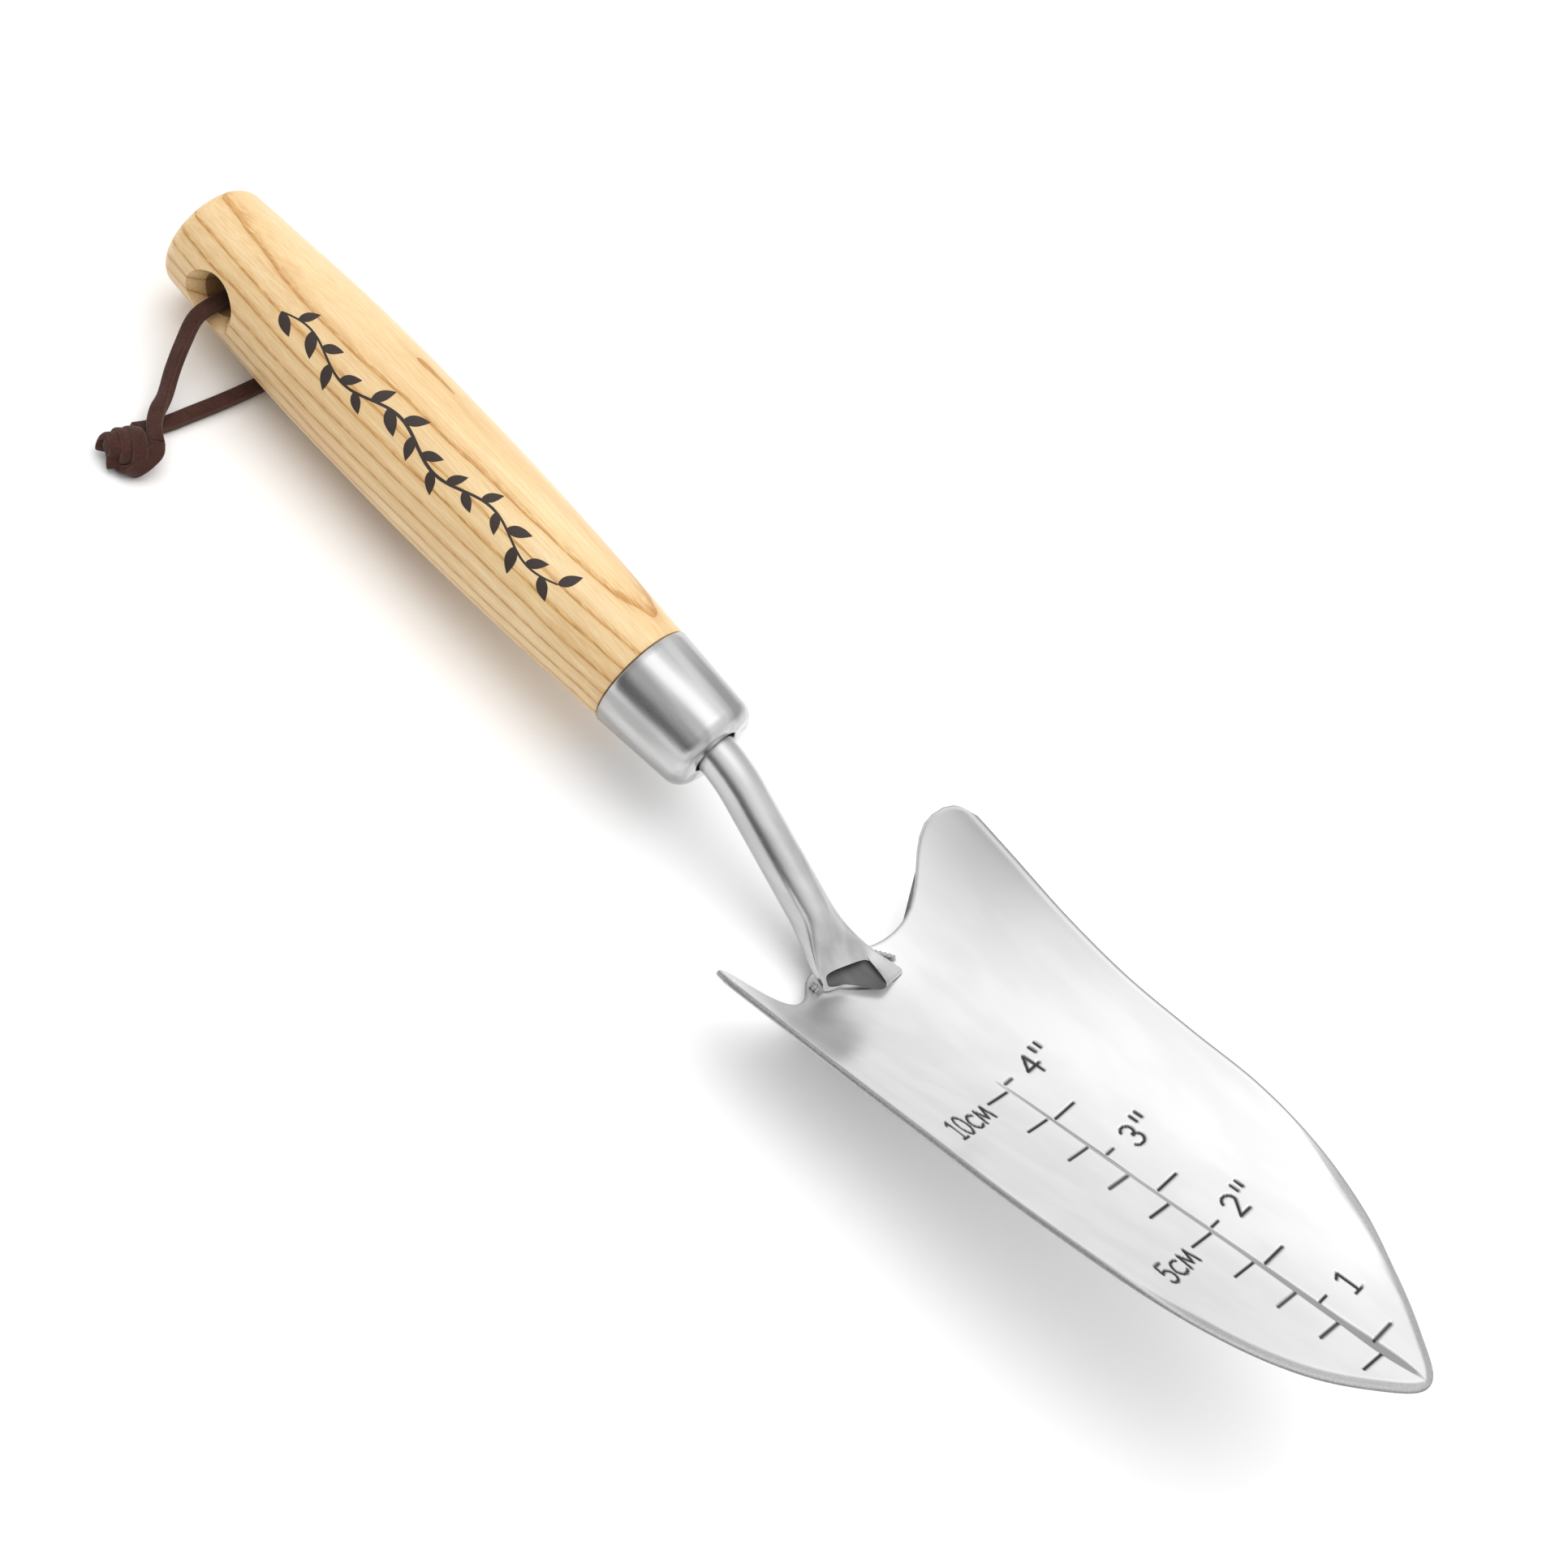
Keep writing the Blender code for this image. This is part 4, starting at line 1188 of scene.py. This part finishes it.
leaf_mesh = bpy.data.meshes.new("leaf")
leaf_points = []
LEAF_LENGTH, LEAF_HALF_WIDTH, LEAF_SPACING, LEAF_STEPS = 5.6, 1.25, 4.1, 12
for k in range(LEAF_STEPS + 1):
    share = k / LEAF_STEPS
    width = max(LEAF_HALF_WIDTH * math.sin(math.pi * share ** 0.8) ** 0.9, 0.02)
    leaf_points += [(share * LEAF_LENGTH, side * width, 0.0) for side in (-1, 1)]
leaf_faces = [(2 * k, 2 * k + 2, 2 * k + 3, 2 * k + 1) for k in range(LEAF_STEPS)]
leaf_mesh.from_pydata([tuple(v * MM for v in p) for p in leaf_points], [], leaf_faces)
leaf = add_object("leaf", leaf_mesh)

sprig_tree = new_tree("leafy sprig", [("Leaf", "Object"), ("Leaf Spacing", "Float"),
                                      ("Lean", "Float"), ("Seed", "Int"),
                                      ("Material", "Material")])
given = node(sprig_tree, "NodeGroupInput").outputs
stem_points = node(sprig_tree, "GeometryNodeResampleCurve",
                   [("Curve", given["Geometry"]), ("Length", given["Leaf Spacing"])],
                   mode="LENGTH")
leaf_source = node(sprig_tree, "GeometryNodeObjectInfo", [("Object", given["Leaf"])])
index = node(sprig_tree, "GeometryNodeInputIndex")
parity = maths(sprig_tree, "MODULO", index, 2.0)
side = map_range(sprig_tree, parity, low=-1.0, high=1.0)
tangent = node(sprig_tree, "GeometryNodeInputTangent")
tangent_parts = node(sprig_tree, "ShaderNodeSeparateXYZ", [(0, tangent)])
heading = maths(sprig_tree, "ARCTAN2", tangent_parts.outputs["Y"], tangent_parts.outputs["X"])
jitter = node(sprig_tree, "FunctionNodeRandomValue", [("Seed", given["Seed"])], data_type="FLOAT")
for socket in jitter.inputs:
    if socket.type == "VALUE" and socket.name == "Min":
        socket.default_value = 0.82
    if socket.type == "VALUE" and socket.name == "Max":
        socket.default_value = 1.12
jittered = [s for s in jitter.outputs if s.type == "VALUE"][0]
leaned = maths(sprig_tree, "MULTIPLY", side, given["Lean"])
turned_by = maths(sprig_tree, "ADD", leaned, heading)
euler = node(sprig_tree, "ShaderNodeCombineXYZ", [("Z", turned_by)])
leaves = node(sprig_tree, "GeometryNodeInstanceOnPoints",
              [("Points", stem_points), ("Instance", leaf_source.outputs["Geometry"]),
               ("Rotation", euler), ("Scale", jittered)])
end_tree(sprig_tree, leaves, given["Material"])

STEM_FROM, STEM_TO, STEM_WAVE, STEM_SWAY = -106.0, -22.0, 28.0, 1.7
STEM_STEPS, STEM_HALF_WIDTH = 160, 0.4


def stem_point(share):
    x = STEM_FROM + (STEM_TO - STEM_FROM) * share
    return x, STEM_SWAY * math.sin(2 * math.pi * (x - STEM_FROM) / STEM_WAVE)


stem_curve = bpy.data.curves.new("stem", "CURVE")
stem_curve.dimensions = "3D"
line = stem_curve.splines.new("POLY")
line.points.add(STEM_STEPS)
for k, slot in enumerate(line.points):
    x, v = stem_point(k / STEM_STEPS)
    slot.co = (x * MM, v * MM, 0.0, 1.0)
stem = add_object("stem", stem_curve)
leaves_mesh = run_tree(stem, sprig_tree, {"Leaf": leaf, "Leaf Spacing": LEAF_SPACING * MM,
                                          "Lean": 0.8, "Seed": 4, "Material": print_ink[0]})
bpy.data.objects.remove(stem)
bpy.data.objects.remove(leaf)
print("sprig", len(leaves_mesh.polygons), "leaf faces")

# %% Wrapping the sprig on to the handle
PRINT_PROUD, PRINT_THICK = 0.03, 0.05
PRINT_ANGLE = math.radians(40.0)
sprig_flat = bmesh.new()
sprig_flat.from_mesh(leaves_mesh)
previous = None
for k in range(STEM_STEPS + 1):
    x, v = stem_point(k / STEM_STEPS)
    thick = STEM_HALF_WIDTH * (1.0 - 0.5 * abs(2 * k / STEM_STEPS - 1))
    pair = [sprig_flat.verts.new((x * MM, (v + s * thick) * MM, 0.0)) for s in (-1, 1)]
    if previous:
        sprig_flat.faces.new((previous[0], pair[0], pair[1], previous[1]))
    previous = pair
bmesh.ops.subdivide_edges(sprig_flat, edges=[e for e in sprig_flat.edges
                                             if e.calc_length() > 0.9 * MM], cuts=2,
                          use_grid_fill=True)
bmesh.ops.triangulate(sprig_flat, faces=sprig_flat.faces)
for vert in sprig_flat.verts:
    x, v = vert.co.x / MM, vert.co.y / MM
    radius = float(handle_radius(-x / HANDLE_LENGTH)) + PRINT_PROUD
    turn = PRINT_ANGLE - v / radius - (x + 64.0) * 0.0012
    vert.co = Vector((x, -radius * math.sin(turn), radius * math.cos(turn))) * MM
bmesh.ops.recalc_face_normals(sprig_flat, faces=sprig_flat.faces)
for face in sprig_flat.faces:
    face.normal_update()
    if face.normal.dot(Vector((0.0, face.calc_center_median().y, face.calc_center_median().z))) < 0:
        face.normal_flip()
sprig_mesh = bpy.data.meshes.new("handle_sprig")
sprig_flat.to_mesh(sprig_mesh)
sprig_flat.free()
sprig_mesh.materials.append(print_ink[0])
sprig = add_object("handle_sprig", sprig_mesh)
film = sprig.modifiers.new("film", "SOLIDIFY")
film.thickness = PRINT_THICK * MM
film.offset = -1.0
sprig.data = applied(sprig)
lay_in_place(sprig)
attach(sprig, "root")
print("sprig film", len(sprig.data.polygons), "faces")

# %% [markdown]
# ## Suede
# Suede is leather with its nap raised: dull, a little lighter where fibres stand up to
# the light, and paler along cut edges where the dye did not reach.

# %% Suede
suede, tree, shader = new_material("brown suede", (0.07, 0.028, 0.02), 0.95)
spot = node(tree, "ShaderNodeTexCoord")
nap = noise(tree, spot.outputs["Object"], 1500.0, 4.0, 0.7)
blotch = noise(tree, spot.outputs["Object"], 260.0, 2.0)
cut_edge = node(tree, "ShaderNodeAttribute", attribute_name="cut_edge")
mottled = colour_mix(tree, blotch.outputs["Fac"], (0.034, 0.0135, 0.0105, 1.0),
                     (0.082, 0.034, 0.025, 1.0))
fuzzy = colour_mix(tree, 0.5, mottled, nap.outputs["Fac"], "OVERLAY")
edged = colour_mix(tree, cut_edge.outputs["Fac"], fuzzy, (0.12, 0.055, 0.036, 1.0))
tree.links.new(edged, shader.inputs["Base Color"])
shader.inputs["Sheen Weight"].default_value = 0.12
shader.inputs["Sheen Roughness"].default_value = 0.5
shader.inputs["Specular IOR Level"].default_value = 0.15
raised = bump(tree, nap.outputs["Fac"], 0.00022)
tree.links.new(raised.outputs["Normal"], shader.inputs["Normal"])

# %% [markdown]
# ## The lace
# The thong is one flat lace. Its two ends are knotted together, and the loop between
# them goes through the hole and back under the handle, which rests on it.
# Its route is a smooth curve through listed points. A flat lace also has a way it
# faces, and it turns over once on its way down from the hole, so each point of the route
# carries the direction of the lace's broad side as well.

# %% Lace route
LACE_WIDTH, LACE_THICK = 3.4, 2.2
ROUTE = (
    (-138.4, -39.7, 5.2), (-141.9, -37.4, 5.0), (-145.1, -34.0, 4.8), (-147.6, -29.8, 5.2),
    (-151.1, -25.4, 7.4), (-154.3, -20.7, 10.2), (-157.1, -15.4, 13.2), (-157.7, -9.0, 14.0),
    (-157.7, 0.0, 14.0), (-157.7, 9.0, 14.0), (-157.1, 15.4, 12.9), (-154.7, 19.6, 9.0),
    (-151.1, 20.4, 4.6), (-146.9, 17.0, 2.0), (-143.7, 10.4, 1.4), (-142.5, 2.0, 1.4),
    (-142.4, -7.0, 1.4), (-142.6, -16.0, 1.4), (-143.1, -24.6, 1.4), (-143.7, -32.2, 1.4),
    (-144.5, -36.4, 1.6), (-144.9, -39.4, 2.4))
FACING = (
    (0.4, -0.5, 0.8), (0.35, -0.55, 0.75), (0.1, -0.5, 0.85), (-0.6, -0.3, 0.7),
    (-0.35, -0.7, 0.65), (-0.2, -0.75, 0.6), (-0.1, -0.5, 0.8), (0.0, -0.1, 1.0),
    (0.0, 0.0, 1.0), (0.0, 0.2, 1.0), (0.0, 0.7, 0.7), (0.1, 1.0, 0.3),
    (0.5, 0.7, 0.6), (0.3, 0.3, 0.9), (0.0, 0.0, 1.0), (0.0, 0.0, 1.0),
    (0.0, 0.0, 1.0), (0.0, 0.0, 1.0), (0.0, 0.0, 1.0), (0.0, 0.0, 1.0),
    (0.0, 0.1, 1.0), (0.0, 0.3, 1.0))


def follow(route, facing, count):
    """Evenly spaced points on a smooth route, with the broad side's direction at each."""
    route = np.array(route, dtype=float)
    facing = np.array(facing, dtype=float)
    lengths = np.concatenate([[0.0], np.cumsum(np.linalg.norm(np.diff(route, axis=0), axis=1))])
    curves = [smooth_through(list(zip(lengths, route[:, axis]))) for axis in range(3)]
    turns = [smooth_through(list(zip(lengths, facing[:, axis]))) for axis in range(3)]
    fine = np.linspace(0.0, lengths[-1], 900)
    dense = np.stack([curve(fine) for curve in curves], axis=1)
    dense_facing = np.stack([turn(fine) for turn in turns], axis=1)
    run = np.concatenate([[0.0], np.cumsum(np.linalg.norm(np.diff(dense, axis=0), axis=1))])
    stations = np.linspace(0.0, run[-1], count)
    places = np.stack([np.interp(stations, run, dense[:, k]) for k in range(3)], axis=1)
    broad = np.stack([np.interp(stations, run, dense_facing[:, k]) for k in range(3)], axis=1)
    return places, broad, run[-1]


# %% Lace section and sweep
SECTION_POINTS = 20


def lace_section(width, thick):
    """A flat section with rounded corners: (across, up, how near the cut edge) for each point."""
    section = []
    for k in range(SECTION_POINTS):
        turn = 2 * math.pi * (k + 0.5) / SECTION_POINTS
        c, s = math.cos(turn), math.sin(turn)
        across = math.copysign(abs(c) ** 0.42, c)
        rise = math.copysign(abs(s) ** 0.42, s)
        section.append((across * width / 2, rise * thick / 2,
                        0.55 if abs(abs(c) - 0.89) < 0.05 else 0.0))
    return section


def sweep(places, broad, section, scale=None):
    """Points of a lace along a path, and its cut-edge values."""
    tangents = np.gradient(places, axis=0)
    tangents /= np.linalg.norm(tangents, axis=1, keepdims=True)
    broad = broad - (broad * tangents).sum(axis=1, keepdims=True) * tangents
    broad /= np.linalg.norm(broad, axis=1, keepdims=True)
    side = np.cross(broad, tangents)
    points, edges = [], []
    for k in range(len(places)):
        size = 1.0 if scale is None else scale[k]
        for across, rise, edge in section:
            points.append(places[k] + side[k] * across * size + broad[k] * rise * size)
            edges.append(edge)
    return points, edges


def lace_piece(name, points, edges, count, around):
    piece = new_piece(name, points, capped_tube(count, around), suede)
    store(piece, "cut_edge", edges)
    outward(piece)
    piece.data.shade_smooth()
    return piece


LACE_RINGS = 240
lace_places, lace_broad, lace_length = follow(ROUTE, FACING, LACE_RINGS)
section = lace_section(LACE_WIDTH, LACE_THICK)
points, edges = sweep(lace_places, lace_broad, section)
lace = lace_piece("suede_lace", points, edges, LACE_RINGS, len(section))
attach(lace, "root")
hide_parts("thong")
print("lace", round(lace_length, 1), "mm")

# %% [markdown]
# ## The knot
# The lace's two ends are knotted together. A pulled knot shows little of how it was tied, so
# this one isn't tied: three wraps of lace lie round a solid core, one end runs round the
# outside and under, the other runs in, and a short cut tail comes out.

# %% Knot
KNOT_CENTRE = np.array([-141.4, -45.3, 0.0])
knot_along = np.array([0.517, 0.856, 0.0])
knot_back = np.array([-0.856, 0.517, 0.0])
WRAP_WIDTH, WRAP_THICK = 3.2, 2.0


def in_knot(along, back, z):
    """A point of the knot, from its place along its axis, behind it, and above the ground."""
    return tuple(KNOT_CENTRE + knot_along * along + knot_back * back + (0, 0, z))


def strand(name, points, facing, count=60, width=WRAP_WIDTH):
    places, broad, _ = follow(points, facing, count)
    swept, swept_edges = sweep(places, broad, lace_section(width, WRAP_THICK))
    return lace_piece(name, swept, swept_edges, count, SECTION_POINTS)


# Three wraps, from a wide one beside the incoming strand to a small one at the far end.
wrap_points, wrap_facing = [], []
WRAP_TURNS, WRAP_STEPS = 3.0, 48
for k in range(WRAP_STEPS + 1):
    share = k / WRAP_STEPS
    turn = math.radians(-70) + 2 * math.pi * WRAP_TURNS * share
    deep = 3.7 - 2.7 * share ** 1.6 + 0.15 * math.sin(2.3 * turn)
    high = 3.05 - 2.0 * share ** 1.6
    lean = 0.9 * math.sin(turn)
    wrap_points.append(in_knot(2.6 - 6.7 * share + 0.35 * lean,
                               -deep * math.cos(turn) + 0.9 * share,
                               4.35 - 0.35 * share + high * math.sin(turn)))
    out_way = -knot_back * math.cos(turn) * high + np.array([0, 0, math.sin(turn) * deep])
    wrap_facing.append(tuple(out_way / np.linalg.norm(out_way)))
knot = strand("suede_knot", wrap_points, wrap_facing, 240)
knot_parts = [knot]
knot_parts.append(strand(
    "incoming", [ROUTE[0], (-136.9, -41.2, 5.1), (-136.3, -43.3, 4.6), (-136.3, -45.4, 3.5),
                 (-136.9, -46.9, 2.2), (-138.3, -47.4, 1.5), (-140.0, -46.9, 1.35)],
    [FACING[0], (0.45, -0.45, 0.8), (0.6, -0.4, 0.7), (0.8, -0.5, 0.45), (0.65, -0.75, -0.3),
     (0.2, -0.5, -0.85), (0.0, 0.0, -1.0)], width=3.5))
knot_parts.append(strand(
    "returning", [ROUTE[-1], in_knot(2.6, 2.9, 3.2), in_knot(1.2, 2.4, 4.0),
                  in_knot(-0.5, 1.0, 4.3)],
    [(0.0, 0.2, 1.0), (0.0, 0.2, 1.0), (0.0, 0.0, 1.0), (0.0, 0.0, 1.0)], width=3.0))
knot_parts.append(strand(
    "cut_end", [in_knot(-2.2, -0.6, 3.0), in_knot(-2.6, -2.3, 2.2), in_knot(-2.5, -3.6, 1.5)],
    [(0.0, -0.2, 1.0), (0.1, -0.3, 0.9), (0.3, -0.5, 0.8)], 30, 2.8))
CORE_STEPS = 26
core_share = np.sin(np.linspace(-math.pi / 2, math.pi / 2, CORE_STEPS))
core_places = np.array([in_knot(4.4 * u - 0.4, 0.2, 4.3) for u in core_share])
core_size = np.sqrt(np.maximum(1.0 - core_share ** 2, 0.004))
core_points, core_edges = sweep(core_places, np.tile([0.0, 0.0, 1.0], (CORE_STEPS, 1)),
                                [(x, z, 0.0) for x, z, _ in lace_section(5.6, 5.2)], core_size)
knot_parts.append(lace_piece("core", core_points, core_edges, CORE_STEPS,
                             SECTION_POINTS))
merged = bmesh.new()
for part in knot_parts:
    merged.from_mesh(part.data)
merged.to_mesh(knot.data)
merged.free()
for part in knot_parts[1:]:
    bpy.data.objects.remove(part)
knot.data.shade_smooth()
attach(knot, "root")
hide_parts("thong_knot")
print("knot", len(knot.data.polygons), "faces")
